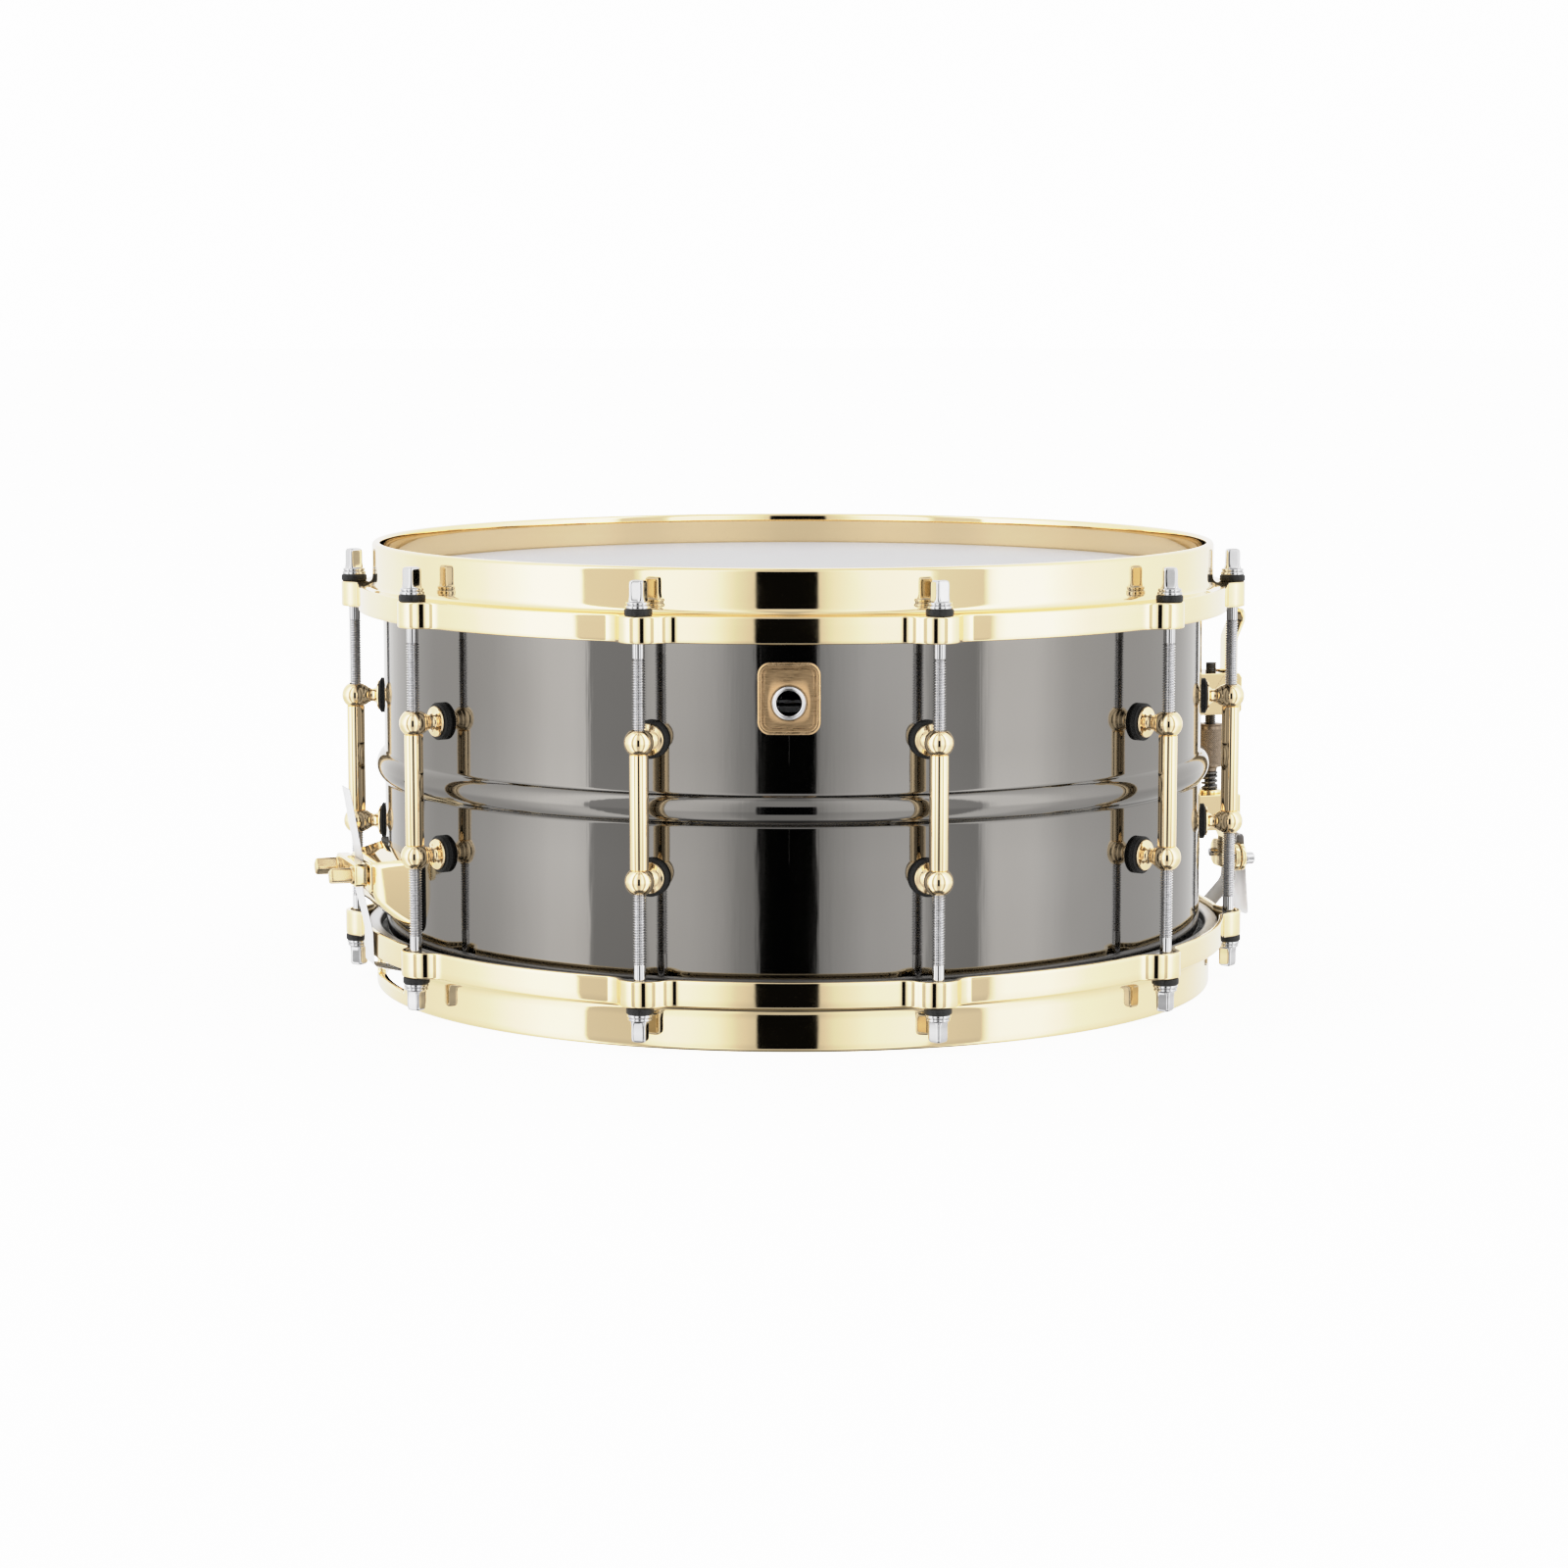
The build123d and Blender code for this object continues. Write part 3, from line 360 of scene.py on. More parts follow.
def fillet_path(pts, radii, closed=True, seg=5):
    """Rounds a polygon's corners with arcs."""
    pts = [np.array(p, float) for p in pts]
    n = len(pts)
    if not hasattr(radii, "__len__"):
        radii = [radii] * n
    out = []
    for i in range(n):
        p, r = pts[i], radii[i]
        if r <= 0 or (not closed and i in (0, n - 1)):
            out.append(p)
            continue
        a, b = pts[i - 1], pts[(i + 1) % n]
        u, v = (a - p), (b - p)
        lu, lv = np.linalg.norm(u), np.linalg.norm(v)
        u, v = u / lu, v / lv
        cosv = float(np.clip(u @ v, -1, 1))
        ang = math.acos(cosv)
        if ang > math.radians(179.5):
            out.append(p)
            continue
        d = min(r / math.tan(ang / 2), lu * 0.499, lv * 0.499)
        rr = d * math.tan(ang / 2)
        c = p + (u + v) / np.linalg.norm(u + v) * (rr / math.sin(ang / 2))
        s0, s1 = p + u * d - c, p + v * d - c
        turn = math.pi - ang
        k = max(2, int(math.ceil(seg * turn / (math.pi / 2))))
        sgn = 1 if (s0[0] * s1[1] - s0[1] * s1[0]) > 0 else -1
        for j in range(k + 1):
            t = sgn * turn * j / k
            ct, st = math.cos(t), math.sin(t)
            out.append(c + np.array([s0[0] * ct - s0[1] * st, s0[0] * st + s0[1] * ct]))
    keep = [out[0]]
    for p in out[1:]:
        if np.linalg.norm(p - keep[-1]) > 1e-5:
            keep.append(p)
    if closed and np.linalg.norm(keep[0] - keep[-1]) < 1e-5:
        keep.pop()
    return np.array(keep)


def lathe(profile, n=96, closed=True, radial=None, phase=0.0):
    """Spins (r, h) points.  About +Z, or with radial=(theta, z0) about the outward line there,
    when h is the distance from the drum's axis."""
    prof = np.asarray(profile, float)
    rings, verts = [], []
    count = 0
    ang = phase + np.arange(n) * PI2 / n
    for r, h in prof:
        if r < 1e-7:
            rings.append([count])
            verts.append([[0, 0, h]])
            count += 1
        else:
            rings.append(list(range(count, count + n)))
            verts.append(np.stack([r * np.cos(ang), r * np.sin(ang), np.full(n, h)], 1))
            count += n
    v = np.concatenate(verts)
    faces = []
    last = len(rings) if closed else len(rings) - 1
    for i in range(last):
        a, b = rings[i], rings[(i + 1) % len(rings)]
        if len(a) == 1 and len(b) == 1:
            continue
        for j in range(n):
            k = (j + 1) % n
            if len(a) == 1:
                faces.append((a[0], b[j], b[k]))
            elif len(b) == 1:
                faces.append((a[j], b[0], a[k]))
            else:
                faces.append((a[j], b[j], b[k], a[k]))
    if radial is not None:
        theta, z0 = radial
        t = math.radians(theta)
        tx, ux = np.array([math.cos(t), math.sin(t), 0]), np.array([math.sin(t), -math.cos(t), 0])
        v = v[:, :1] * tx + v[:, 1:2] * np.array([0, 0, 1.0]) + v[:, 2:] * ux + np.array([0, 0, z0])
    return v, faces


def col(theta, r, z=0.0):
    """A point at an angle from the front and a distance from the axis."""
    t = math.radians(theta)
    return np.array([r * math.sin(t), -r * math.cos(t), z])


def sector(theta, P):
    """Local (R, s, z) points to row coordinates."""
    P = np.asarray(P, float)
    t = math.radians(theta)
    u = np.array([math.sin(t), -math.cos(t), 0])
    s = np.array([math.cos(t), math.sin(t), 0])
    return P[:, :1] * u + P[:, 1:2] * s + P[:, 2:] * np.array([0, 0, 1.0])


def poly_normals(poly):
    a = np.roll(poly, 1, 0)
    b = np.roll(poly, -1, 0)
    e0, e1 = poly - a, b - poly
    e0 = e0 / np.maximum(np.linalg.norm(e0, axis=1, keepdims=True), 1e-9)
    e1 = e1 / np.maximum(np.linalg.norm(e1, axis=1, keepdims=True), 1e-9)
    n0 = np.stack([e0[:, 1], -e0[:, 0]], 1)
    n1 = np.stack([e1[:, 1], -e1[:, 0]], 1)
    n = n0 + n1
    n = n / np.maximum(np.linalg.norm(n, axis=1, keepdims=True), 1e-9)
    n = n / np.clip((n * n0).sum(1, keepdims=True), 0.6, 1)
    area = 0.5 * np.sum(poly[:, 0] * b[:, 1] - b[:, 0] * poly[:, 1])
    return n if area > 0 else -n


def prism(poly, h0, h1, bevel=0.5, seg=3):
    """Extrudes a 2-D outline from h0 to h1 with rounded rims; returns (a, b, h) points."""
    poly = np.asarray(poly, float)
    nrm = poly_normals(poly)
    rings = []
    steps = [(bevel * (1 - math.sin(k * math.pi / 2 / seg)), bevel * (1 - math.cos(k * math.pi / 2 / seg)))
             for k in range(seg + 1)] if bevel > 0 else [(0, 0)]
    for inset, dh in reversed(steps) if False else [(bevel * (1 - math.cos(k * math.pi / 2 / seg)),
                                                     bevel * (1 - math.sin(k * math.pi / 2 / seg)))
                                                    for k in range(seg, -1, -1)] if bevel > 0 else [(0, 0)]:
        rings.append((poly - nrm * inset, h0 + dh))
    lower = rings
    upper = [(p, h0 + h1 - h) for p, h in reversed(lower)]
    rings = lower + upper
    n = len(poly)
    v = np.concatenate([np.column_stack([p, np.full(n, h)]) for p, h in rings])
    faces = []
    for i in range(len(rings) - 1):
        for j in range(n):
            k = (j + 1) % n
            faces.append((i * n + j, i * n + k, (i + 1) * n + k, (i + 1) * n + j))
    faces.append(tuple(range(n))[::-1])
    faces.append(tuple((len(rings) - 1) * n + j for j in range(n)))
    return v, faces


def side_prism(theta, poly_Rz, s0, s1, bevel=0.5, corner=0.6, seg=3):
    """An outline in the radial section, extruded sideways."""
    v, f = prism(fillet_path(poly_Rz, corner, seg=4), s0, s1, bevel, seg)
    return sector(theta, np.column_stack([v[:, 0], v[:, 2], v[:, 1]])), f


def face_prism(theta, poly_sz, r0, r1, bevel=0.5, corner=0.6, seg=3):
    """An outline seen from outside, extruded outward."""
    v, f = prism(fillet_path(poly_sz, corner, seg=5), r0, r1, bevel, seg)
    return sector(theta, np.column_stack([v[:, 2], v[:, 0], v[:, 1]])), f


def rect(s0, s1, z0, z1):
    return [(s0, z0), (s1, z0), (s1, z1), (s0, z1)]


def sample_path(pts, step):
    """Even samples along a polyline."""
    pts = np.asarray(pts, float)
    d = np.linalg.norm(np.diff(pts, axis=0), axis=1)
    s = np.concatenate([[0], np.cumsum(d)])
    n = max(2, int(round(s[-1] / step)))
    t = np.linspace(0, s[-1], n + 1)
    return np.column_stack([np.interp(t, s, pts[:, i]) for i in range(pts.shape[1])]), t, s[-1]


def ribbon(theta, path_Rz, half, thick, end_r=(2.0, 2.0), step=0.8, edge=None):
    """A strip along a path in the radial section, with round-cornered ends."""
    P, t, L = sample_path(path_Rz, step)
    T = np.gradient(P, axis=0)
    T /= np.linalg.norm(T, axis=1, keepdims=True)
    N = np.column_stack([T[:, 1], -T[:, 0]])
    e = thick / 2 if edge is None else edge
    extra0 = [0.0, 0.15, 0.4, 0.7]
    # narrower strip where the ends round off
    w = np.full(len(P), half)
    for i, s in enumerate(t):
        for r, d in ((end_r[0], s), (end_r[1], L - s)):
            if d < r:
                w[i] = min(w[i], half - r + math.sqrt(max(r * r - (r - d) ** 2, 0)))
    w = np.maximum(w, 0.2)
    ring = []
    for k in range(5):                       # one rounded edge of the strip
        a = -math.pi / 2 + math.pi * k / 4
        ring.append((1, e * math.cos(a) - e, thick / 2 * math.sin(a)))
    for k in range(5):
        a = math.pi / 2 + math.pi * k / 4
        ring.append((-1, e * math.cos(a) + e, thick / 2 * math.sin(a)))
    m = len(ring)
    verts = []
    for i in range(len(P)):
        for side, ds, dn in ring:
            q = P[i] + N[i] * dn
            verts.append((q[0], side * w[i] + ds, q[1]))
    faces = []
    for i in range(len(P) - 1):
        for j in range(m):
            k = (j + 1) % m
            faces.append((i * m + j, i * m + k, (i + 1) * m + k, (i + 1) * m + j))
    faces.append(tuple(range(m))[::-1])
    faces.append(tuple((len(P) - 1) * m + j for j in range(m)))
    return sector(theta, verts), faces


def tube(path, radius, m=8, closed_ends=True):
    """Round wire along a path of 3-D points."""
    P = np.asarray(path, float)
    T = np.gradient(P, axis=0)
    T /= np.linalg.norm(T, axis=1, keepdims=True)
    ref = np.array([0, 0, 1.0]) if abs(T[0][2]) < 0.9 else np.array([1.0, 0, 0])
    U = np.zeros_like(P)
    u = ref - T[0] * (ref @ T[0])
    for i in range(len(P)):
        u = u - T[i] * (u @ T[i])
        u /= np.linalg.norm(u)
        U[i] = u
    V = np.cross(T, U)
    a = np.arange(m) * PI2 / m
    v = (P[:, None, :] + radius * (np.cos(a)[None, :, None] * U[:, None, :]
                                   + np.sin(a)[None, :, None] * V[:, None, :])).reshape(-1, 3)
    n = len(P)
    i, j = np.meshgrid(np.arange(n - 1), np.arange(m), indexing="ij")
    k = (j + 1) % m
    q = np.stack([i * m + j, i * m + k, (i + 1) * m + k, (i + 1) * m + j], -1).reshape(-1, 4)
    faces = q.tolist()
    if closed_ends:
        faces.append(list(range(m))[::-1])
        faces.append([(n - 1) * m + x for x in range(m)])
    return v, faces


def grid_tube(rfun, zs, n, caps=True):
    """A closed column with radius rfun(angle, z)."""
    a = np.arange(n) * PI2 / n
    zs = np.asarray(zs, float)
    A, Z = np.meshgrid(a, zs)
    Rr = rfun(A, Z)
    v = np.stack([Rr * np.cos(A), Rr * np.sin(A), Z], -1).reshape(-1, 3)
    i, j = np.meshgrid(np.arange(len(zs) - 1), np.arange(n), indexing="ij")
    k = (j + 1) % n
    faces = np.stack([i * n + j, i * n + k, (i + 1) * n + k, (i + 1) * n + j], -1).reshape(-1, 4).tolist()
    if caps:
        faces.append(list(range(n))[::-1])
        faces.append([(len(zs) - 1) * n + x for x in range(n)])
    return v, faces


def cut(o, cutters):
    """Boolean difference, applied to the mesh."""
    for c in cutters:
        m = o.modifiers.new("cut", "BOOLEAN")
        m.operation, m.solver, m.object = "DIFFERENCE", "EXACT", c
    dg = bpy.context.evaluated_depsgraph_get()
    new = bpy.data.meshes.new_from_object(o.evaluated_get(dg))
    old = o.data
    o.modifiers.clear()
    o.data = new
    bpy.data.meshes.remove(old)
    for c in cutters:
        d = c.data
        bpy.data.objects.remove(c)
        bpy.data.meshes.remove(d)
    return o


# ---------------------------------------------------------------------------
# Shell
# ---------------------------------------------------------------------------
def shell_profile():
    er, w = 3.0, 1.2
    e_top, e_bot = 178.6, 13.5
    ax = R - er
    outer, inner = [], []

    def edge(z, sg):
        zc = z - sg * er
        o = [(ax + er * math.cos(a), zc + sg * er * math.sin(a))
             for a in np.linspace(0, math.radians(135), 11)]
        o.append((o[-1][0] - 1.9, o[-1][1] - sg * 1.9))
        ri = er - w
        i = [(ax + ri * math.cos(a), zc + sg * ri * math.sin(a))
             for a in np.linspace(math.radians(135), 0, 9)]
        i.insert(0, (i[0][0] - 1.9, i[0][1] - sg * 1.9))
        return o, i

    def bead(grow, up):
        """Crown and the two hollow sweeps that carry it into the wall."""
        half, rise, sweep = 7.3, 3.6, 1.7
        tilt = 2 * math.atan(rise / half)
        crown = half / math.sin(tilt) - sweep
        rs, rc = sweep + grow, crown - grow
        top = [(R + sweep - rs * math.cos(a), MID + half - rs * math.sin(a))
               for a in np.linspace(0, tilt, 10)]
        mid = [(R + rise - crown + rc * math.cos(a), MID + rc * math.sin(a))
               for a in np.linspace(tilt, -tilt, 29)][1:-1]
        low = [(r, 2 * MID - z) for r, z in top][::-1]
        pts = top + mid + low
        return pts if up else pts[::-1]

    ot, it = edge(e_top, 1)
    ob, ib = edge(e_bot, -1)
    rows = (118, 126, 129, 131, 133, 135, 137, 139, 141, 143, 145, 147, 149, 152, 160)
    prof = ob[::-1] + [(R, z) for z in (30, 52, 74)] + bead(0, True)[::-1] \
        + [(R, z) for z in rows] + ot + it \
        + [(R - 1.2, z) for z in rows[::-1]] + bead(1.2, True) \
        + [(R - 1.2, z) for z in (74, 52, 30)] + ib[::-1]
    return prof


m = Mesh().add(*lathe(shell_profile(), 720))
shell = m.object("drum_shell", M["black_nickel"], sharp=50)
vent_cut = Mesh().add(*lathe([(0, 170), (5.65, 170), (5.65, 184), (0, 184)], 64, closed=False,
                             radial=(0, 138.9))).object("vent_cut", M["black_nickel"])
cut(shell, [vent_cut])
place(shell, "drum", "shell")

# ---------------------------------------------------------------------------
# Badge: a plain bent plate with a raised border and a bead line; vent grommet
# ---------------------------------------------------------------------------
def bend(s, z, h):
    r = R + h
    a = s / R
    return np.column_stack([r * np.sin(a), -r * np.cos(a), z])


bz, vz = 140.6, 138.9
outline = fillet_path([(-12.45, -14.3), (12.45, -14.3), (12.45, 14.3), (-12.45, 14.3)], 5.0, seg=14)
outline, _, _ = sample_path(np.vstack([outline, outline[:1]]), 0.45)
outline = outline[:-1]
on = poly_normals(outline)
oz = outline + np.array([0, bz])
circ = oz - np.array([0, vz])
ca = np.arctan2(circ[:, 1], circ[:, 0])
rings = []
for inset, h in ((0, 0.02), (0, 0.45), (0.1, 0.68), (0.35, 0.8), (1.25, 0.8), (1.5, 0.7), (1.65, 0.5),
                 (2.3, 0.48), (2.45, 0.62), (2.75, 0.62), (2.9, 0.48)):
    p = outline - on * inset + np.array([0, bz])
    rings.append(bend(p[:, 0], p[:, 1], h))
inner_edge = outline - on * 2.9 + np.array([0, bz])
for f, h in ((0.5, 0.48), (1.0, 0.48)):
    p = inner_edge * (1 - f) + f * np.column_stack([7.6 * np.cos(ca), vz + 7.6 * np.sin(ca)])
    rings.append(bend(p[:, 0], p[:, 1], h))
for r_, h in ((7.45, 0.6), (7.2, 0.6), (5.7, 0.5), (5.65, 0.02)):
    rings.append(bend(r_ * np.cos(ca), vz + r_ * np.sin(ca), h))
n = len(outline)
faces = []
for i in range(len(rings)):
    a0, b0 = i * n, ((i + 1) % len(rings)) * n
    for j in range(n):
        k = (j + 1) % n
        faces.append((a0 + j, a0 + k, b0 + k, b0 + j))
mm = Mesh()
mm.add(np.concatenate(rings), faces)
mm.m = [1 if (i // n) in (1, 2, 3, 8) else 0 for i in range(len(faces))]
badge = mm.object("badge_plate", [M["satin_bronze"], M["bronze_edge"]], sharp=40)
place(badge, "drum", "badge")

prof = fillet_path([(5.0, R - 3.1), (5.0, R + 1.7), (5.5, R + 2.1), (6.6, R + 1.75), (7.05, R + 0.95),
                    (5.6, R + 0.55), (5.6, R - 1.45), (7.0, R - 1.6), (6.9, R - 2.5), (5.9, R - 3.2)],
                   0.3, seg=5)
place(Mesh().add(*lathe(prof, 72, radial=(0, vz))).object("vent_eyelet", M["chrome"], sharp=60),
      "drum", "vent_grommet")


# ---------------------------------------------------------------------------
# Heads
# ---------------------------------------------------------------------------
def film_profile(t, z_edge, sg):
    er, ax = 3.0, R - 3.0
    zc = z_edge - sg * er
    ro = er + t
    web_z = z_edge + sg * (13.5 - 18.4 - 2.4)
    up = [(0, z_edge + sg * t)] + [(r, z_edge + sg * t) for r in (60, 110, 140, 158, 168, 172)]
    up += [(ax + ro * math.sin(a), zc + sg * ro * math.cos(a)) for a in np.linspace(0, math.pi / 2, 9)]
    up += [(R + t, web_z + sg * 0.6), (179.8, web_z - sg * 2.2)]
    dn = [(179.8, web_z - sg * 2.7), (R, web_z + sg * 0.4)]
    dn += [(ax + er * math.sin(a), zc + sg * er * math.cos(a)) for a in np.linspace(math.pi / 2, 0, 9)]
    dn += [(r, z_edge) for r in (172, 168, 158, 140, 110, 60)] + [(0, z_edge)]
    return up + dn


place(Mesh().add(*lathe(film_profile(0.25, 178.6, 1), 360, closed=False))
      .object("batter_film", M["coated_film"], sharp=40), "drum", "batter_head_film")
place(Mesh().add(*lathe(film_profile(0.15, 13.5, -1), 360, closed=False))
      .object("snare_film", M["clear_film"], sharp=40), "drum", "snare_head_film")
for name, z0, z1 in (("batter_flesh_hoop", 164.6, 171.3), ("snare_flesh_hoop", 20.8, 27.5)):
    prof = fillet_path([(179.8, z0), (185.4, z0), (185.4, z1), (179.8, z1)], 1.2, seg=5)
    place(Mesh().add(*lathe(prof, 360)).object(name + "_ring", M["satin_aluminium"], sharp=45),
          "drum", name)


# ---------------------------------------------------------------------------
# Die-cast hoops
# ---------------------------------------------------------------------------
def outline_points(R0, re, rb, Re=186.1, per=(34, 14, 30)):
    """One tenth of the flange outline, twice: (angle from the ear, point, outward normal)."""
    cosb = ((R0 + rb) ** 2 + Re ** 2 - (re + rb) ** 2) / (2 * (R0 + rb) * Re)
    beta = math.acos(cosb)
    C = np.array([(R0 + rb) * math.sin(beta), (R0 + rb) * math.cos(beta)])    # (tangential, radial)
    E = np.array([0, Re])
    half = []
    # ear tip to the tangent point
    d = (C - E) / np.linalg.norm(C - E)
    a_t = math.atan2(d[0], d[1])
    for a in np.linspace(0, a_t, per[0], endpoint=False):
        nrm = np.array([math.sin(a), math.cos(a)])
        half.append((E + re * nrm, nrm))
    # blend
    v0 = (E - C) / np.linalg.norm(E - C)
    v1 = -C / np.linalg.norm(C)
    a0, a1 = math.atan2(v0[0], v0[1]), math.atan2(v1[0], v1[1])
    while a1 - a0 > math.pi:
        a1 -= PI2
    while a1 - a0 < -math.pi:
        a1 += PI2
    for a in np.linspace(a0, a1, per[1], endpoint=False):
        nrm = np.array([math.sin(a), math.cos(a)])
        half.append((C + rb * nrm, -nrm))
    # the hoop's own curve to halfway between ears
    for a in np.linspace(beta, math.radians(18), per[2] + 1):
        nrm = np.array([math.sin(a), math.cos(a)])
        half.append((R0 * nrm, nrm))
    return half


def full_outline(R0, re, rb):
    half = outline_points(R0, re, rb)
    pts, nrms = [], []
    for k in range(10):
        c = math.radians(LUGS[k])
        seq = [((-p[0], p[1]), (-q[0], q[1])) for p, q in half[1:-1]][::-1] + \
              [(tuple(p), tuple(q)) for p, q in half]
        for (t, r), (nt, nr) in seq:
            pts.append((r * math.sin(c) + t * math.cos(c), -r * math.cos(c) + t * math.sin(c)))
            nrms.append((nr * math.sin(c) + nt * math.cos(c), -nr * math.cos(c) + nt * math.sin(c)))
    return np.array(pts), np.array(nrms)


def hoop_mesh(lower):
    P, N = full_outline(188.0, 10.2, 9.25)
    Q, QN = full_outline(186.0, 8.2, 11.25)
    n = len(P)
    ang = np.arctan2(P[:, 0], -P[:, 1])
    angq = np.arctan2(Q[:, 0], -Q[:, 1])
    zt, zb, web, top = FT, FB, FT - 2.4, TOP
    rows = []

    def circle(r, z, a=None):
        a = ang if a is None else a
        rows.append(np.column_stack([r * np.sin(a), -r * np.cos(a), np.full(n, z)]))

    def off(d, z, pts=P, nr=N):
        q = pts - nr * d
        rows.append(np.column_stack([q, np.full(n, z)]))

    ri, ro = 178.3, 181.8
    for z in np.linspace(web, top - 1.3, 8):
        circle(ri, z)
    for a in np.linspace(0, math.pi / 2, 6)[1:]:
        circle(ri + 1.3 * (1 - math.cos(a)), top - 1.3 + 1.3 * math.sin(a))
    for a in np.linspace(math.pi / 2, 0, 8):
        circle(ro - 1.7 + 1.7 * math.cos(a), top - 1.7 + 1.7 * math.sin(a))
    fr = 3.4
    for z in np.linspace(top - 1.7, zt + fr, 8)[1:]:
        circle(ro, z)
    for a in np.linspace(0, math.pi / 2, 8)[1:]:
        circle(ro + fr * (1 - math.cos(a)), zt + fr - fr * math.sin(a))
    # flange top, from the fillet out to the edge round
    er = 0.95
    edge = P - N * er
    base = np.column_stack([(ro + fr) * np.sin(ang), -(ro + fr) * np.cos(ang)])
    for f in (0.5,):
        q = base * (1 - f) + edge * f
        rows.append(np.column_stack([q, np.full(n, zt)]))
    for a in np.linspace(0, math.pi / 2, 7):
        off(er * (1 - math.sin(a)), zt - er * (1 - math.cos(a)))
    for z in (zt - 3.5, zt - 6.5, zb + 1.6):
        off(0, z)
    for a in np.linspace(0, math.pi / 2, 5):
        off(0.6 * (1 - math.cos(a)), zb + 0.6 - 0.6 * math.sin(a))
    # skirt's lower lip and the hollow behind it
    for a in np.linspace(math.pi / 2, 0, 4):
        off(-0.5 * (1 - math.cos(a)), zb + 0.5 - 0.5 * math.sin(a), Q, QN)
    for z in (zb + 3, zb + 6, web - 0.8):
        off(0, z, Q, QN)
    for a in np.linspace(0, math.pi / 2, 4)[1:]:
        off(0.8 * (1 - math.cos(a)), web - 0.8 + 0.8 * math.sin(a), Q, QN)
    inner = Q - QN * 0.8
    base = np.column_stack([ri * np.sin(angq), -ri * np.cos(angq)])
    for f in (0.35, 0.7):
        q = inner * (1 - f) + base * f
        rows.append(np.column_stack([q, np.full(n, web)]))
    v = np.concatenate(rows)
    nr = len(rows)
    i, j = np.meshgrid(np.arange(nr), np.arange(n), indexing="ij")
    k, i2 = (j + 1) % n, (i + 1) % nr
    faces = np.stack([i * n + j, i * n + k, i2 * n + k, i2 * n + j], -1).reshape(-1, 4).tolist()
    if lower:
        v = v * np.array([1, -1, -1]) + np.array([0, 0, TOP])
    return v, faces


def hole_cutters(z0, z1):
    c = Mesh()
    for a in LUGS:
        vv, ff = lathe([(0, z0), (3.0, z0), (3.0, z1), (0, z1)], 32, closed=False)
        c.add(vv + col(a, ROD_R), ff)
    return c.object("hole_cut", M["gold_plate"])


hoop = Mesh().add(*hoop_mesh(False)).object("batter_hoop_casting", M["gold_plate"], sharp=40)
cut(hoop, [hole_cutters(FT - 4, FT + 2)])
place(hoop, "drum", "batter_hoop")

low = Mesh().add(*hoop_mesh(True)).object("snare_hoop_casting", M["gold_plate"], sharp=40)
gates = []
for a in (BA, SA):
    g = Mesh().add(*face_prism(a, rect(-26.6, 26.6, 5.8, 18.3), 170, 184.8, 0, 1.5))
    gates.append(g.object("gate_cut", M["gold_plate"]))
cut(low, [hole_cutters(18.4 - 2, 18.4 + 4)] + gates)
place(low, "drum", "snare_hoop")

# ---------------------------------------------------------------------------
# Tube lugs
# ---------------------------------------------------------------------------
tubes, posts, gaskets = Mesh(), Mesh(), Mesh()
ball = [(2.78, -4.9), (3.15, -4.9)] + \
    [(5.9 * math.cos(a), 5.9 * math.sin(a)) for a in np.linspace(-0.98, 0.98, 27)] + \
    [(3.15, 4.9), (2.78, 4.9)]
post = fillet_path([(0, R + 2.6), (6.2, R + 2.6), (6.5, R + 3.1), (6.2, R + 3.7), (4.6, R + 4.05),
                    (3.4, R + 4.7), (2.85, R + 5.7), (2.85, R + 6.9), (3.25, R + 7.15),
                    (3.35, R + 7.7), (4.45, R + 9.2), (4.65, R + 10.2), (4.6, R + 10.6),
                    (4.3, ROD_R - 1.0), (0, ROD_R - 1.0)],
                   [0, .25, .25, .3, .6, .9, .9, .5, .12, .3, .8, .3, .3, 0, 0], closed=False, seg=8)
gk = fillet_path([(2.2, R - 0.05), (7.7, R - 0.05), (7.7, R + .55), (7.3, R + .75), (7.7, R + .95),
                  (7.7, R + 1.3), (7.3, R + 1.5), (7.7, R + 1.7), (7.7, R + 2.2), (7.2, R + 2.6),
                  (2.2, R + 2.6)], [0, .1, .12, .15, .12, .12, .15, .12, .2, .25, 0], seg=4)
tb = fillet_path([(3.0, BALL_Z[0] + 4.7), (3.85, BALL_Z[0] + 4.7), (3.85, BALL_Z[1] - 4.7),
                  (3.0, BALL_Z[1] - 4.7)], 0.25, seg=4)
for a in LUGS:
    v, f = lathe(tb, 64)
    tubes.add(v + col(a, ROD_R), f)
    for z in BALL_Z:
        v, f = lathe(ball, 64)
        posts.add(v + col(a, ROD_R, z), f)
        posts.add(*lathe(post, 56, closed=False, radial=(a, z)))
        v, f = lathe(gk, 64, radial=(a, z))
        # seat the gasket on the round wall
        t = math.radians(a)
        side = v[:, 0] * math.cos(t) + v[:, 1] * math.sin(t)
        out = v[:, 0] * math.sin(t) - v[:, 1] * math.cos(t)
        k = np.clip((R + 2.6 - out) / 2.65, 0, 1)
        drop = (R - np.sqrt(R * R - side ** 2)) * k
        v = v - drop[:, None] * np.array([math.sin(t), -math.cos(t), 0])
        gaskets.add(v, f)
place(tubes.object("lug_tube_set", M["polished_brass"], sharp=40), "drum", "lug_tubes")
place(posts.object("lug_post_set", M["polished_brass"], sharp=40), "drum", "lug_posts")
place(gaskets.object("lug_gasket_set", M["black_rubber"], sharp=50), "drum", "lug_gaskets")


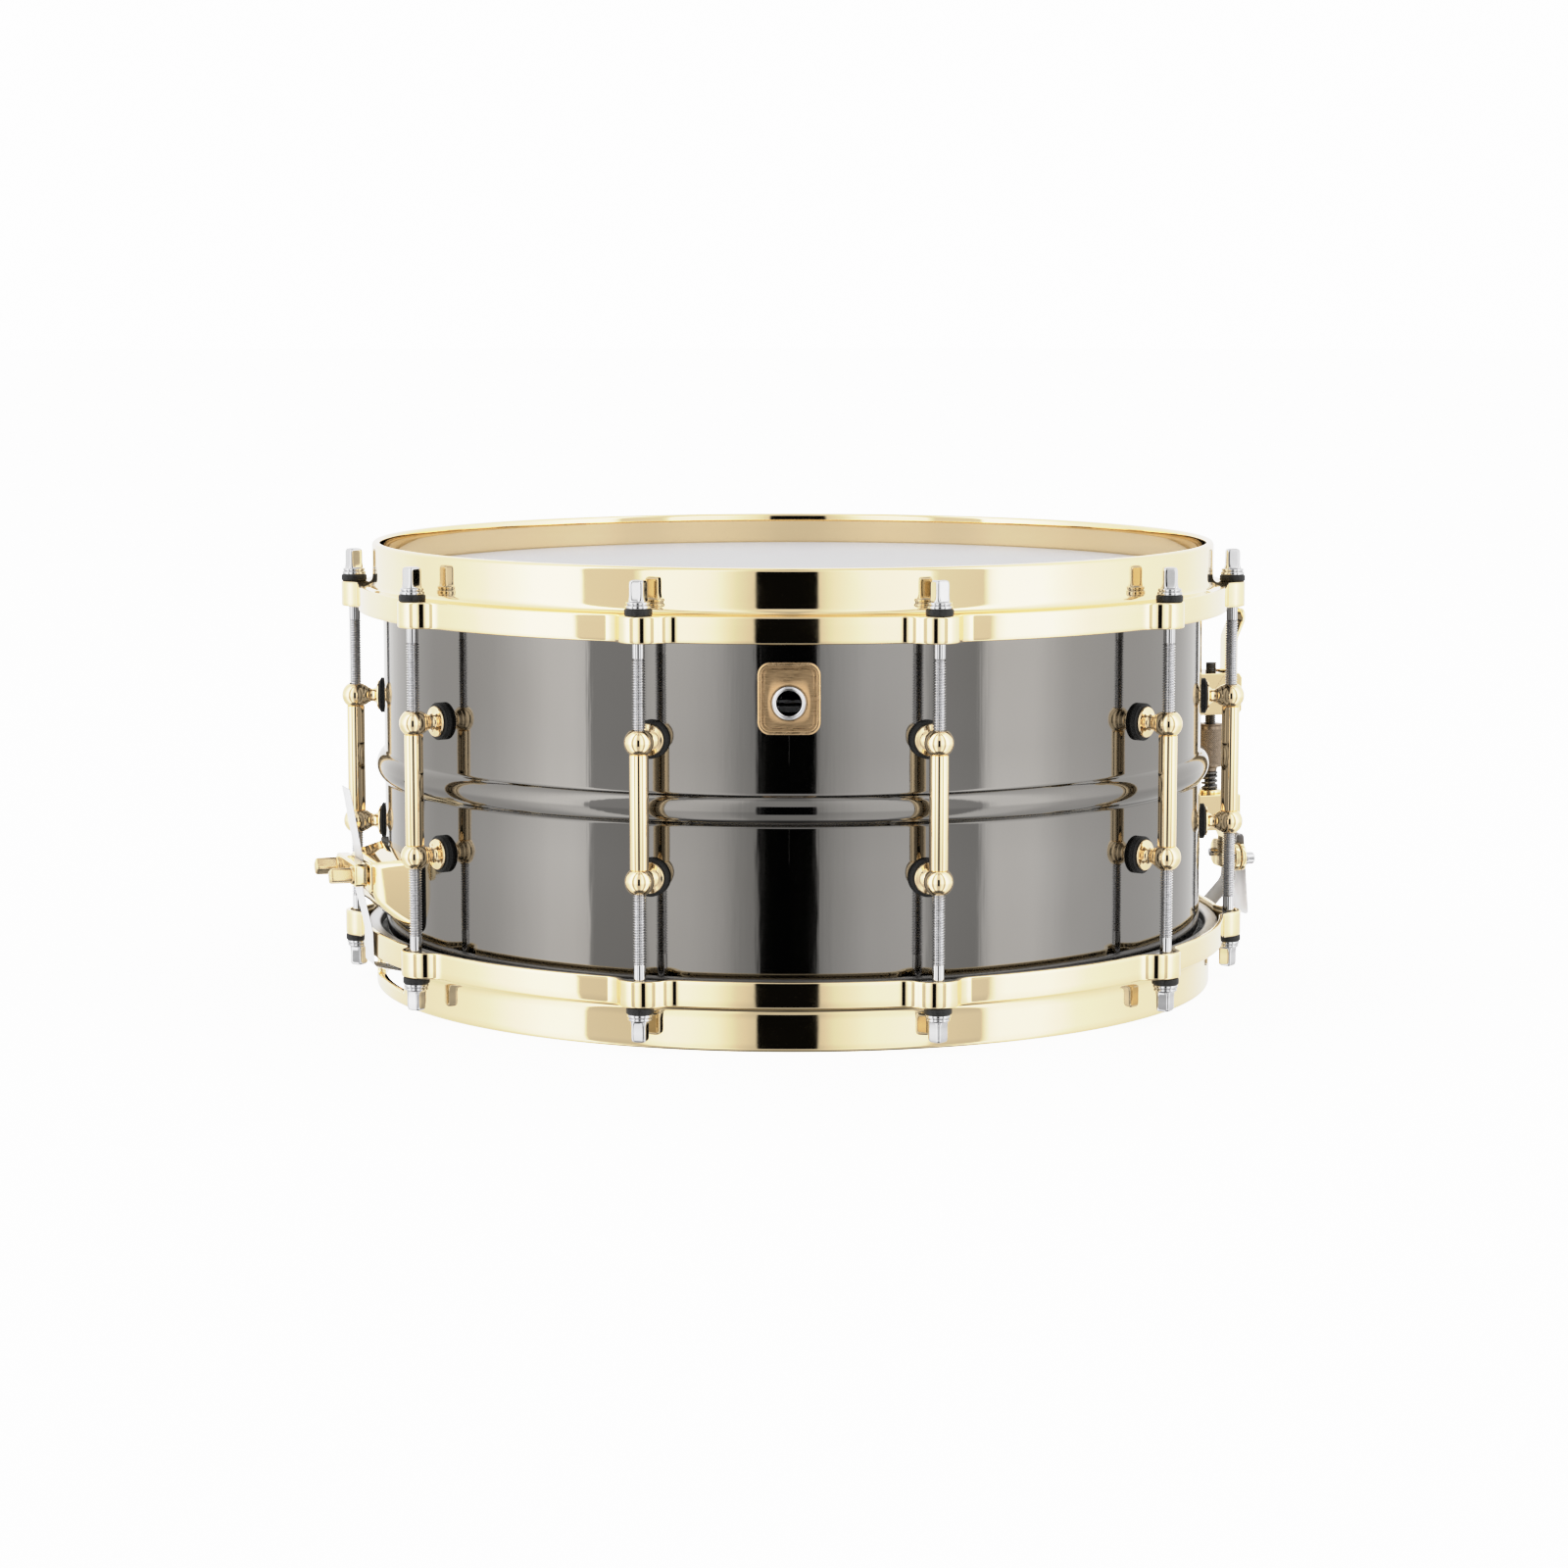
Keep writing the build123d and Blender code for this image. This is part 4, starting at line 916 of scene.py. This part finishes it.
# ---------------------------------------------------------------------------
# Tension rods with cut threads and square keys, nylon washers
# ---------------------------------------------------------------------------
def thread_column(r_out, r_root, pitch, z0, z1, n=28, per=7, taper=1.2):
    zs = np.arange(z0, z1 + 1e-6, pitch / per)
    zs[-1] = z1

    def rf(A, Z):
        ph = (Z / pitch - A / PI2) % 1.0
        tri = np.abs(ph - 0.5) * 2
        shape = np.clip((tri - 0.12) / 0.70, 0, 1)
        r = r_root + (r_out - r_root) * shape
        fade = np.clip((Z - z0) / taper, 0, 1)
        return r_root - 0.25 * (1 - fade) + (r - r_root) * fade
    return grid_tube(rf, zs, n)


def square_ring(side, corner, n, turn=0.0):
    """n points of a rounded square, by angle."""
    h = side / 2
    out = []
    for k in range(n):
        a = PI2 * k / n
        c, s = abs(math.cos(a)), abs(math.sin(a))
        # distance to a rounded square along this angle
        lo, hi = 0.0, side
        for _ in range(26):
            mid = (lo + hi) / 2
            x, y = max(mid * c - (h - corner), 0), max(mid * s - (h - corner), 0)
            if math.hypot(x, y) <= corner and mid * c <= h + 1e-9 and mid * s <= h + 1e-9:
                lo = mid
            else:
                hi = mid
        out.append((lo * math.cos(a + turn), lo * math.sin(a + turn)))
    return np.array(out)


def key_head(z_seat):
    """Two collars and a square key, from the seat up."""
    n = 48
    zc = z_seat
    rows = []

    def circ_row(r, z):
        a = np.arange(n) * PI2 / n
        rows.append(np.column_stack([r * np.cos(a), r * np.sin(a), np.full(n, z)]))

    def sq_row(side, corner, z):
        rows.append(np.column_stack([square_ring(side, corner, n), np.full(n, z)]))

    for r, z in ((2.0, 0), (4.7, 0.0), (4.98, 0.12), (5.1, 0.35), (5.1, 1.1), (5.0, 1.32), (4.75, 1.46),
                 (4.45, 1.5), (4.4, 1.6), (4.45, 1.72), (4.7, 1.78), (4.8, 1.95), (4.8, 2.45),
                 (4.68, 2.68), (4.4, 2.8), (4.05, 2.86)):
        circ_row(r, zc + z)
    for side, corner, z in ((7.1, 2.4, 3.05), (6.7, 1.7, 3.5), (6.35, 1.3, 4.1), (6.1, 1.05, 4.8),
                            (6.0, 0.95, 5.6), (6.0, 0.9, 7.5), (5.98, 0.9, 9.6), (5.85, 0.95, 10.4),
                            (5.5, 1.1, 10.95), (4.8, 1.3, 11.25), (3.6, 1.4, 11.42), (1.8, 0.9, 11.5)):
        sq_row(side, corner, zc + z)
    v = np.concatenate(rows)
    faces = []
    for i in range(len(rows) - 1):
        for j in range(n):
            k = (j + 1) % n
            faces.append((i * n + j, i * n + k, (i + 1) * n + k, (i + 1) * n + j))
    faces.append(tuple(range(n))[::-1])
    faces.append(tuple((len(rows) - 1) * n + j for j in range(n)))
    return v, faces


seat = FT + 2.6
rod = Mesh()
rod.add(*key_head(seat))
shank = fillet_path([(0, FB - 6.6), (2.0, FB - 6.6), (2.45, FB - 6.0), (2.45, seat + 0.2),
                     (0, seat + 0.2)], [0, .2, .3, 0, 0], closed=False, seg=4)
rod.add(*lathe(shank, 28, closed=False))
rod.add(*thread_column(2.7, 2.08, 1.06, MID + 12, FB - 6.4), material=1)
rod_obj = rod.object("rod_master", [M["chrome"], M["cut_thread"]], sharp=60)
rod_mesh = rod_obj.data
bpy.data.objects.remove(rod_obj)
turn_top = [12, 38, 4, 27, 61, 17, 73, 33, 9, 0]
turn_low = [31, 8, 55, 21, 70, 14, 42, 66, 25, 3]
for side, turns in (("batter", turn_top), ("snare", turn_low)):
    for k, a in enumerate(LUGS):
        nm = "%s_rod_%02d" % (side, k + 1)
        me = rod_mesh.copy()
        turn = Matrix.Rotation(math.radians(a + turns[k]), 4, "Z")
        at = Vector(col(a, ROD_R) * MM)
        if side == "batter":
            me.transform(Matrix.Translation(at) @ turn)
        else:
            me.transform(Matrix.Translation(at + Vector((0, 0, TOP * MM))) @ turn
                         @ Matrix.Rotation(math.pi, 4, "X"))
        o = bpy.data.objects.new(nm + "_turned", me)
        scene.collection.objects.link(o)
        place(o, nm, nm)

wp = fillet_path([(2.55, 0), (5.55, 0), (5.55, 2.6), (2.55, 2.6)], [.15, .55, .55, .15], seg=6)
for name, z in (("batter_rod_washers", FT), ("snare_rod_washers", 18.4 - 2.6)):
    w = Mesh()
    for a in LUGS:
        v, f = lathe(wp, 56)
        w.add(v + col(a, ROD_R, z), f)
    place(w.object(name + "_set", M["black_nylon"], sharp=50), "drum", name)

# ---------------------------------------------------------------------------
# Strainer
# ---------------------------------------------------------------------------
b = Mesh()
b.add(*face_prism(SA, rect(-11, 11, 47, 131), 180.2, 187.0, 0.8, 3.0, 4))
b.add(*side_prism(SA, [(186.2, 109.6), (199.9, 109.6), (199.9, 128.3), (186.2, 128.3)], -11, 11, 0.7, 0.6))
for s0, s1 in ((-11, -8.25), (8.25, 11)):
    b.add(*side_prism(SA, [(198.5, 109.6), (206.6, 109.6), (208.0, 111.5), (208.0, 126.2),
                           (206.6, 128.3), (198.5, 128.3)], s0, s1, 0.6, 1.2))
body_obj = b.object("strainer_casting", M["gold_plate"], sharp=50, weighted=True)
place(body_obj, "drum", "strainer_body")

pads = Mesh()
for z0, z1 in ((45.5, 85.5), (105.5, 132.5)):
    pad, f = face_prism(SA, rect(-12.5, 12.5, z0, z1), R, R + 2.0, 0.3, 2.6, 3)
    t = math.radians(SA)
    side = pad[:, 0] * math.cos(t) + pad[:, 1] * math.sin(t)
    pad = pad - (R - np.sqrt(R * R - side ** 2))[:, None] * np.array([math.sin(t), -math.cos(t), 0])
    pads.add(pad, f)
place(pads.object("strainer_pads", M["black_rubber"], sharp=50), "drum", "strainer_gasket")

lever_path = fillet_path([(205.3, 117.8), (206.0, 129.0), (206.0, 143.6), (209.5, 151.6), (209.8, 156.9)],
                         [0, 20, 7.5, 6, 0], closed=False, seg=14)
lv = Mesh()
lv.add(*ribbon(SA, lever_path, 8.0, 2.2, (1.0, 4.6), 0.45, edge=0.7))
hub = fillet_path([(0, -8.0), (4.4, -8.0), (4.4, 8.0), (0, 8.0)], [0, .6, .6, 0], closed=False, seg=4)
v, f = lathe(hub, 48, closed=False)
lv.add(sector(SA, np.column_stack([v[:, 0] + 204.6, v[:, 2], v[:, 1] + 118.5])), f)
place(lv.object("throw_lever_blade", M["gold_plate"], sharp=45), "throw_lever", "throw_lever")

pin = Mesh()
for sg in (-1, 1):
    pp = fillet_path([(0, 10.8), (2.3, 10.8), (2.3, 11.4), (1.6, 11.8), (0, 11.8)], [0, .1, .3, .3, 0],
                     closed=False, seg=4)
    v, f = lathe(pp, 32, closed=False)
    pin.add(sector(SA, np.column_stack([v[:, 0] + 204.6, sg * v[:, 2], v[:, 1] + 118.5])), f)
v, f = lathe([(0, -11), (1.5, -11), (1.5, 11), (0, 11)], 32, closed=False)
pin.add(sector(SA, np.column_stack([v[:, 0] + 204.6, v[:, 2], v[:, 1] + 118.5])), f)
place(pin.object("lever_pin_rivet", M["zinc_steel"], sharp=45), "drum", "lever_pin")

SC = col(SA, 197.3)
sc = Mesh()
v, f = thread_column(2.55, 2.12, 0.8, 58.5, 132.3, n=28, per=6, taper=0.8)
sc.add(v + SC, f)
place(sc.object("adjust_screw_thread", M["dark_steel"], sharp=60), "throw_screw", "adjust_screw")

kn = Mesh()


def knurl(A, Z):
    base = 5.4
    p = PI2 * base / 34
    u1 = (A * 34 / PI2 + Z / p) % 1.0
    u2 = (A * 34 / PI2 - Z / p) % 1.0
    g = np.maximum((np.abs(u1 - .5) * 2) ** 3, (np.abs(u2 - .5) * 2) ** 3)
    edge = np.clip(np.minimum(Z - 86.2, 102.4 - Z) / 0.3, 0, 1)
    return base - 0.30 * g * edge


v, f = grid_tube(knurl, np.linspace(86.1, 102.5, 118), 272)
kn.add(v + SC, f)
for prof in (
    fillet_path([(2.62, 83.0), (3.1, 83.0), (3.5, 84.8), (5.1, 85.2), (5.4, 85.7), (5.4, 86.15), (2.62, 86.15)],
                [0, .3, .4, .2, .2, 0, 0], seg=4),
    fillet_path([(2.62, 102.45), (5.4, 102.45), (5.4, 103.7), (5.1, 104.1), (2.62, 104.1)],
                [0, 0, .3, .2, 0], seg=4),
    fillet_path([(2.62, 104.1), (5.6, 104.1), (5.6, 104.7), (2.62, 104.7)], [0, .2, .2, 0], seg=3)):
    v, f = lathe(prof, 64)
    kn.add(v + SC, f, material=1 if prof[1][0] > 5.45 else 0)
place(kn.object("adjust_knob_knurled", [M["bronze_knurl"], M["zinc_steel"]], sharp=60),
      "adjust_knob", "adjust_knob")

turns_n, zlo, zhi, wr = 2.6, 75.52, 82.38, 0.60
t_ = np.linspace(0, 1, 190)
za = zlo + (zhi - zlo) * np.clip((t_ - 0.12) / 0.76, 0, 1)
aa = PI2 * (turns_n + 1.6) * t_
coil = np.column_stack([3.15 * np.cos(aa), 3.15 * np.sin(aa), za])
sp = Mesh()
v, f = tube(coil, wr, 12)
sp.add(v + SC, f)
place(sp.object("adjust_spring_coil", M["dark_steel"], sharp=60), "carriage", "adjust_spring")

wash = fillet_path([(2.7, 73.2), (5.2, 73.2), (5.2, 74.4), (4.7, 74.9), (2.7, 74.9)], [.1, .25, .25, .2, .1], seg=4)
v, f = lathe(wash, 56)
place(Mesh().add(v + SC, f).object("spring_seat", M["gold_plate"], sharp=45), "carriage", "spring_washer")

cb = Mesh()
cb.add(*side_prism(SA, [(187.35, 57.0), (209.0, 57.0), (209.0, 73.2), (187.35, 73.2)], -9, 9, 0.8, 0.9))
cb.add(*side_prism(SA, [(200.4, 57.6), (203.0, 55.6), (204.4, 52.6), (204.4, 44.6), (206.9, 44.6),
                        (206.9, 58.6), (200.4, 58.6)], -6.5, 6.5, 0.4, 0.4))
cb.add(*face_prism(SA, rect(-15, 15, 38.5, 51), 204.4, 206.9, 0.5, 5.5))
cb.add(*side_prism(SA, [(184.9, 57.2), (187.6, 57.2), (187.6, 73.0), (184.9, 73.0)], -3.0, 3.0, 0.3, 0.3))
place(cb.object("clamp_block_casting", M["gold_plate"], sharp=50, weighted=True), "carriage", "clamp_block")
place(Mesh().add(*face_prism(SA, rect(-15, 15, 38.5, 51), 207.4, 209.8, 0.6, 5.5, 4))
      .object("strainer_outer_jaw", M["gold_plate"], sharp=50), "carriage", "strainer_clamp_plate")

cs = Mesh()
for s in (-11.5, 11.5):
    pr = fillet_path([(0, 202.6), (1.9, 202.6), (1.9, 209.8), (3.15, 209.8), (3.15, 210.65), (2.75, 210.75),
                      (2.75, 213.7), (2.2, 214.2), (0, 214.2)], [0, .3, 0, 0, .2, .1, .4, .3, 0],
                     closed=False, seg=4)
    v, f = lathe(pr, 40, closed=False)
    cs.add(sector(SA, np.column_stack([v[:, 2], v[:, 0] + s, v[:, 1] + 44.3])), f)
place(cs.object("strainer_jaw_screws", M["chrome"], sharp=45), "carriage", "strainer_clamp_screws")

sp_path = fillet_path([(160, 11.45), (174, 11.45), (189.3, 14.6), (207.15, 33.2), (207.15, 55.0),
                       (210.9, 55.0), (213.7, 17.8)], [0, 15, 4, 7, 1.6, 1.6, 0], closed=False, seg=8)
place(Mesh().add(*ribbon(SA, sp_path, 8.0, 0.4, (0.5, 2.5), 0.6))
      .object("strainer_strap_tape", M["white_strap"], sharp=50), "throw_strap", "strainer_strap")


# ---------------------------------------------------------------------------
# Butt plate
# ---------------------------------------------------------------------------
def rrect(w, h, c, n=16):
    return fillet_path([(-w / 2, -h / 2), (w / 2, -h / 2), (w / 2, h / 2), (-w / 2, h / 2)], c, seg=n)


def butt_rings():
    n = 12
    base = rrect(76, 31.5, 5.0, n) + np.array([0, 48.5])
    mid = rrect(60, 25.5, 4.0, n) + np.array([0, 49.6])
    nose = rrect(40.5, 13.0, 2.2, n) + np.array([0, 54.0])
    seat_r = R + 2.25

    def ring_at(Rr):
        Rr = np.asarray(Rr, float)[:, None]
        # a smooth flare through the three sections
        t = (192.6 - Rr) / (192.6 - 170.0)
        tm = (192.6 - 182.0) / (192.6 - 170.0)
        q = nose * ((t - tm) * (t - 1)) / (tm * 1.0) + mid * (t * (t - 1)) / (tm * (tm - 1)) \
            + base * (t * (t - tm)) / (1 * (1 - tm))
        return q
    N = len(base)
    rings = []
    nn = poly_normals(nose)
    for a in np.linspace(0, math.pi / 2, 6):
        d = 1.5
        q = nose - nn * d * (1 - math.sin(a))
        rings.append(np.column_stack([np.full(N, 192.6 - d * (1 - math.cos(a))), q]))
    last = 192.6 - 1.5
    levels = np.linspace(0, 1, 12)[1:]
    for f in levels:
        Rr = np.full(N, last)
        for _ in range(12):
            q = ring_at(Rr)
            target = np.sqrt(np.maximum(seat_r ** 2 - q[:, 0] ** 2, 1))
            Rr = last * (1 - f) + target * f
        rings.append(np.column_stack([Rr, ring_at(Rr)]))
    v = np.concatenate(rings)
    faces = []
    for i in range(len(rings) - 1):
        for j in range(N):
            k = (j + 1) % N
            faces.append((i * N + j, i * N + k, (i + 1) * N + k, (i + 1) * N + j))
    faces.append(tuple(range(N))[::-1])
    faces.append(tuple((len(rings) - 1) * N + j for j in range(N)))
    return sector(BA, v), faces


place(Mesh().add(*butt_rings()).object("butt_casting", M["gold_plate"], sharp=55), "drum", "butt_body")
pad, f = face_prism(BA, rect(-36.2, 36.2, 32.2, 64.6), R, R + 2.2, 0.4, 5.5, 3)
t = math.radians(BA)
side = pad[:, 0] * math.cos(t) + pad[:, 1] * math.sin(t)
pad = pad - (R - np.sqrt(R * R - side ** 2))[:, None] * np.array([math.sin(t), -math.cos(t), 0])
place(Mesh().add(pad, f).object("butt_pad", M["black_rubber"], sharp=50), "drum", "butt_gasket")
place(Mesh().add(*face_prism(BA, rect(-20, 20, 50.65, 60.35), 193.2, 198.8, 0.9, 2.0, 4))
      .object("butt_jaw", M["gold_plate"], sharp=50), "drum", "butt_clamp_plate")

bs = Mesh()
for s, turn in ((-15.5, 38), (15.5, 20)):
    pr = fillet_path([(0, 185.1), (1.9, 185.1), (1.9, 198.8), (3.9, 198.8), (3.9, 199.6), (3.3, 199.9),
                      (0, 199.9)], [0, .2, 0, 0, .25, .1, 0], closed=False, seg=4)
    v, f = lathe(pr, 40, closed=False)
    bs.add(sector(BA, np.column_stack([v[:, 2], v[:, 0] + s, v[:, 1] + 55.2])), f)
    rows = []
    for sd, cr, rr in ((5.6, 1.2, 199.6), (5.8, 0.9, 200.4), (5.8, 0.9, 207.3), (5.65, 0.95, 208.1),
                       (5.2, 1.1, 208.6), (4.2, 1.2, 208.85), (1.5, .7, 208.9)):
        q = square_ring(sd, cr, 48, math.radians(turn))
        rows.append(np.column_stack([np.full(48, rr), q[:, 0] + s, q[:, 1] + 55.2]))
    v = np.concatenate(rows)
    faces = []
    for i in range(len(rows) - 1):
        for j in range(48):
            k = (j + 1) % 48
            faces.append((i * 48 + j, i * 48 + k, (i + 1) * 48 + k, (i + 1) * 48 + j))
    faces.append(tuple(range(48))[::-1])
    faces.append(tuple((len(rows) - 1) * 48 + j for j in range(48)))
    bs.add(sector(BA, v), faces)
place(bs.object("butt_jaw_screws", M["worn_brass"], sharp=50), "drum", "butt_clamp_screws")

bp = fillet_path([(198.1, 90.5), (192.9, 61.6), (192.9, 46.6), (188.9, 29.5), (188.75, 14.9),
                  (174, 11.45), (160, 11.45)], [0, 12, 12, 20, 2.4, 15, 0], closed=False, seg=10)
place(Mesh().add(*ribbon(BA, bp, 8.3, 0.4, (0.4, 0.4), 0.6)).object("butt_strap_tape", M["white_strap"], sharp=50),
      "drum", "butt_strap")

# ---------------------------------------------------------------------------
# Snare wires
# ---------------------------------------------------------------------------
wires = Mesh()
L, pitch = 158.0, 1.55
for k in range(20):
    s = (k - 9.5) * 2.1
    turns = 2 * L / pitch
    a = np.linspace(0, turns * PI2, int(turns * 9)) + k * 0.7
    x = np.linspace(-L, L, len(a))
    pts = np.column_stack([x, s + 0.66 * np.cos(a), 12.3 + 0.66 * np.sin(a)])
    v, f = tube(sector(SA, pts), 0.22, 5)
    wires.add(v, f, orient=False)
place(wires.object("snare_wire_set", M["snare_steel"], sharp=80), "snares", "snare_strands")
pl = Mesh()
for r0, r1 in ((-170, -158), (158, 170)):
    v, f = prism(fillet_path([(r0, -21.2), (r1, -21.2), (r1, 21.2), (r0, 21.2)], 1.5, seg=5), 11.8, 13.2, 0.3)
    pl.add(sector(SA, v), f)
place(pl.object("snare_end_strips", M["polished_brass"], sharp=50), "snares", "snare_end_plates")

# ---------------------------------------------------------------------------
# CAD nodes that stay as they are get their materials
# ---------------------------------------------------------------------------
slots = {s["node"]: s["material_slot"] for s in frame["record"]["subparts"]}
for n_, o in nodes.items():
    if not o.hide_render:
        o.data.materials.clear()
        o.data.materials.append(M[slots[n_]])

# ---------------------------------------------------------------------------
# Floor, light and camera
# ---------------------------------------------------------------------------
fl = Nodes("pale_floor")
set_p(fl, rough=0.75)
fl.p.inputs["Emission Color"].default_value = (1, 1, 1, 1)
fl.p.inputs["Emission Strength"].default_value = 1.8
fl.link(fl.mix(fl.ramp(fl.noise(3.0, 3), 0.3, 0.7), (0.86, 0.86, 0.86), (0.88, 0.88, 0.88)),
        fl.p.inputs["Base Color"])
bm = bmesh.new()
bmesh.ops.create_circle(bm, cap_ends=True, segments=96, radius=14.0)
me = bpy.data.meshes.new("floor")
bm.to_mesh(me)
bm.free()
me.materials.append(fl.mat)
floor = bpy.data.objects.new("floor", me)
scene.collection.objects.link(floor)
floor.visible_glossy = False

# The studio: a tent of light panels with darker gaps, set out by compass angle round the drum
panels = [(-180, .30), (-130, .27), (-117, .25), (-99, .28), (-90, .31), (-78, .40), (-70, .47), (-62, .48),
          (-57.6, .45), (-56.4, .17), (-41.5, .165), (-39.5, .34), (-33, .38), (-27, .365), (-20, .315),
          (-14, .20), (-9.6, .165), (7.5, .17), (11.3, .23), (20.8, .32), (31.5, .345), (36.5, .345),
          (38.5, .18), (52.6, .165), (53.9, .36), (57, .445), (70, .445), (83, .33),
          (105, .28), (130, .26), (180, .30)]
GAIN = 4.7
world = bpy.data.worlds.new("studio")
scene.world = world
world.use_nodes = True
wt = world.node_tree
wt.nodes.clear()


def wnode(kind, **kw):
    n = wt.nodes.new(kind)
    for k, v in kw.items():
        setattr(n, k, v)
    return n


def wmath(op, a, b=0.0):
    n = wnode("ShaderNodeMath", operation=op)
    for i, v in enumerate((a, b)):
        if isinstance(v, (int, float)):
            n.inputs[i].default_value = v
        else:
            wt.links.new(v, n.inputs[i])
    return n.outputs[0]


def wrange(v, a0, a1, b0, b1):
    n = wnode("ShaderNodeMapRange")
    for k, x in (("From Min", a0), ("From Max", a1), ("To Min", b0), ("To Max", b1)):
        n.inputs[k].default_value = x
    wt.links.new(v, n.inputs["Value"])
    return n.outputs[0]


sep = wnode("ShaderNodeSeparateXYZ")
wt.links.new(wnode("ShaderNodeTexCoord").outputs["Generated"], sep.inputs[0])
compass = wmath("ARCTAN2", sep.outputs[0], wmath("MULTIPLY", sep.outputs[1], -1.0))
ramp = wnode("ShaderNodeValToRGB")
ramp.color_ramp.interpolation = "LINEAR"
el = ramp.color_ramp.elements
el[0].position, el[1].position = 0.0, 1.0
for a, val in panels[1:-1]:
    el.new((a + 180) / 360)
for e, (a, val) in zip(sorted(el, key=lambda e: e.position), panels):
    e.color = (val, val, val, 1)
wt.links.new(wrange(compass, -math.pi, math.pi, 0, 1), ramp.inputs[0])
height = sep.outputs[2]
steep = wmath("ABSOLUTE", height)
# the slot between the front panels, open only about eye height
slot = wmath("MULTIPLY", wrange(compass, math.radians(-9.5), math.radians(-8.8), 0, 1),
             wrange(compass, math.radians(6.8), math.radians(7.5), 1, 0))
slot = wmath("MULTIPLY", slot, wrange(steep, 0.40, 0.43, 1, 0))
val = wmath("MULTIPLY", ramp.outputs[0], wrange(height, -0.27, -0.07, 0.78, 1.0))
val = wmath("MULTIPLY", val, wrange(height, 0.83, 0.92, 1.0, 0.62))
val = wmath("MULTIPLY", val, wrange(height, -0.92, -0.83, 0.10, 1.0))
val = wmath("ADD", wmath("MULTIPLY", val, wmath("SUBTRACT", 1.0, slot)), wmath("MULTIPLY", slot, 0.0006))
roof = wnode("ShaderNodeCombineXYZ")
for i, k in enumerate((1.0, 0.995, 0.985)):
    wt.links.new(wmath("MULTIPLY", val, k), roof.inputs[i])
bg = wt.nodes.new("ShaderNodeBackground")
bg.inputs["Strength"].default_value = GAIN
wt.links.new(roof.outputs[0], bg.inputs["Color"])
plain = wt.nodes.new("ShaderNodeBackground")
plain.inputs["Color"].default_value = (1, 1, 1, 1)
plain.inputs["Strength"].default_value = 3.2
lp = wt.nodes.new("ShaderNodeLightPath")
mixs = wt.nodes.new("ShaderNodeMixShader")
wt.links.new(lp.outputs["Is Camera Ray"], mixs.inputs[0])
wt.links.new(bg.outputs[0], mixs.inputs[1])
wt.links.new(plain.outputs[0], mixs.inputs[2])
wo = wt.nodes.new("ShaderNodeOutputWorld")
wt.links.new(mixs.outputs[0], wo.inputs[0])


def area(name, loc, aim, size, power, glossy=True):
    d = bpy.data.lights.new(name, "AREA")
    d.shape, d.size, d.size_y = "RECTANGLE", size[0], size[1]
    d.energy = power
    o = bpy.data.objects.new(name, d)
    scene.collection.objects.link(o)
    o.location = loc
    o.rotation_mode = "QUATERNION"
    o.rotation_quaternion = (Vector(aim) - Vector(loc)).to_track_quat("-Z", "Y")
    o.visible_glossy = glossy
    return o


area("top_soft", (0.0, -0.2, 2.4), (0, 0, 0.1), (2.2, 2.2), 9, glossy=False)
area("floor_wash_left", (-2.2, -1.2, 2.2), (0, 0, 0), (1.6, 1.6), 9, glossy=False)
area("floor_wash_right", (2.2, -1.2, 2.2), (0, 0, 0), (1.6, 1.6), 9, glossy=False)

cam_data = bpy.data.cameras.new("camera")
cam = bpy.data.objects.new("camera", cam_data)
scene.collection.objects.link(cam)
scene.camera = cam
D, H, AZ, PITCH = 1.7867, 0.3091, 0.0084, 0.1250
cam_data.sensor_width = 36.0
cam_data.lens = 4202.5 / 1600 * 36.0
cam_data.shift_x = -9.05 / 1600
cam_data.shift_y = -0.1 / 1600
cam_data.clip_start, cam_data.clip_end = 0.05, 60
cam.location = (D * math.sin(AZ), -D * math.cos(AZ), H)
look = Vector((-math.sin(AZ) * math.cos(PITCH), math.cos(AZ) * math.cos(PITCH), -math.sin(PITCH)))
cam.rotation_mode = "QUATERNION"
cam.rotation_quaternion = look.to_track_quat("-Z", "Y")

# a film-like shoulder, so bright plating keeps its colour
vs = scene.view_settings
vs.view_transform = "Standard"
vs.look = "None"
vs.use_curve_mapping = True
cm = vs.curve_mapping
cm.initialize()
cm.white_level = (4.0, 4.0, 4.0)
curve = cm.curves[3]
pts = [(0, 0), (0.045, 0.18), (0.09, 0.36), (0.135, 0.54), (0.18, 0.715), (0.25, 0.835), (0.375, 0.915),
       (0.525, 0.955), (0.75, 0.985), (1, 1)]
while len(curve.points) < len(pts):
    curve.points.new(0.5, 0.5)
for p, (x, y) in zip(curve.points, pts):
    p.location = (x, y)
    p.handle_type = "VECTOR"
cm.update()
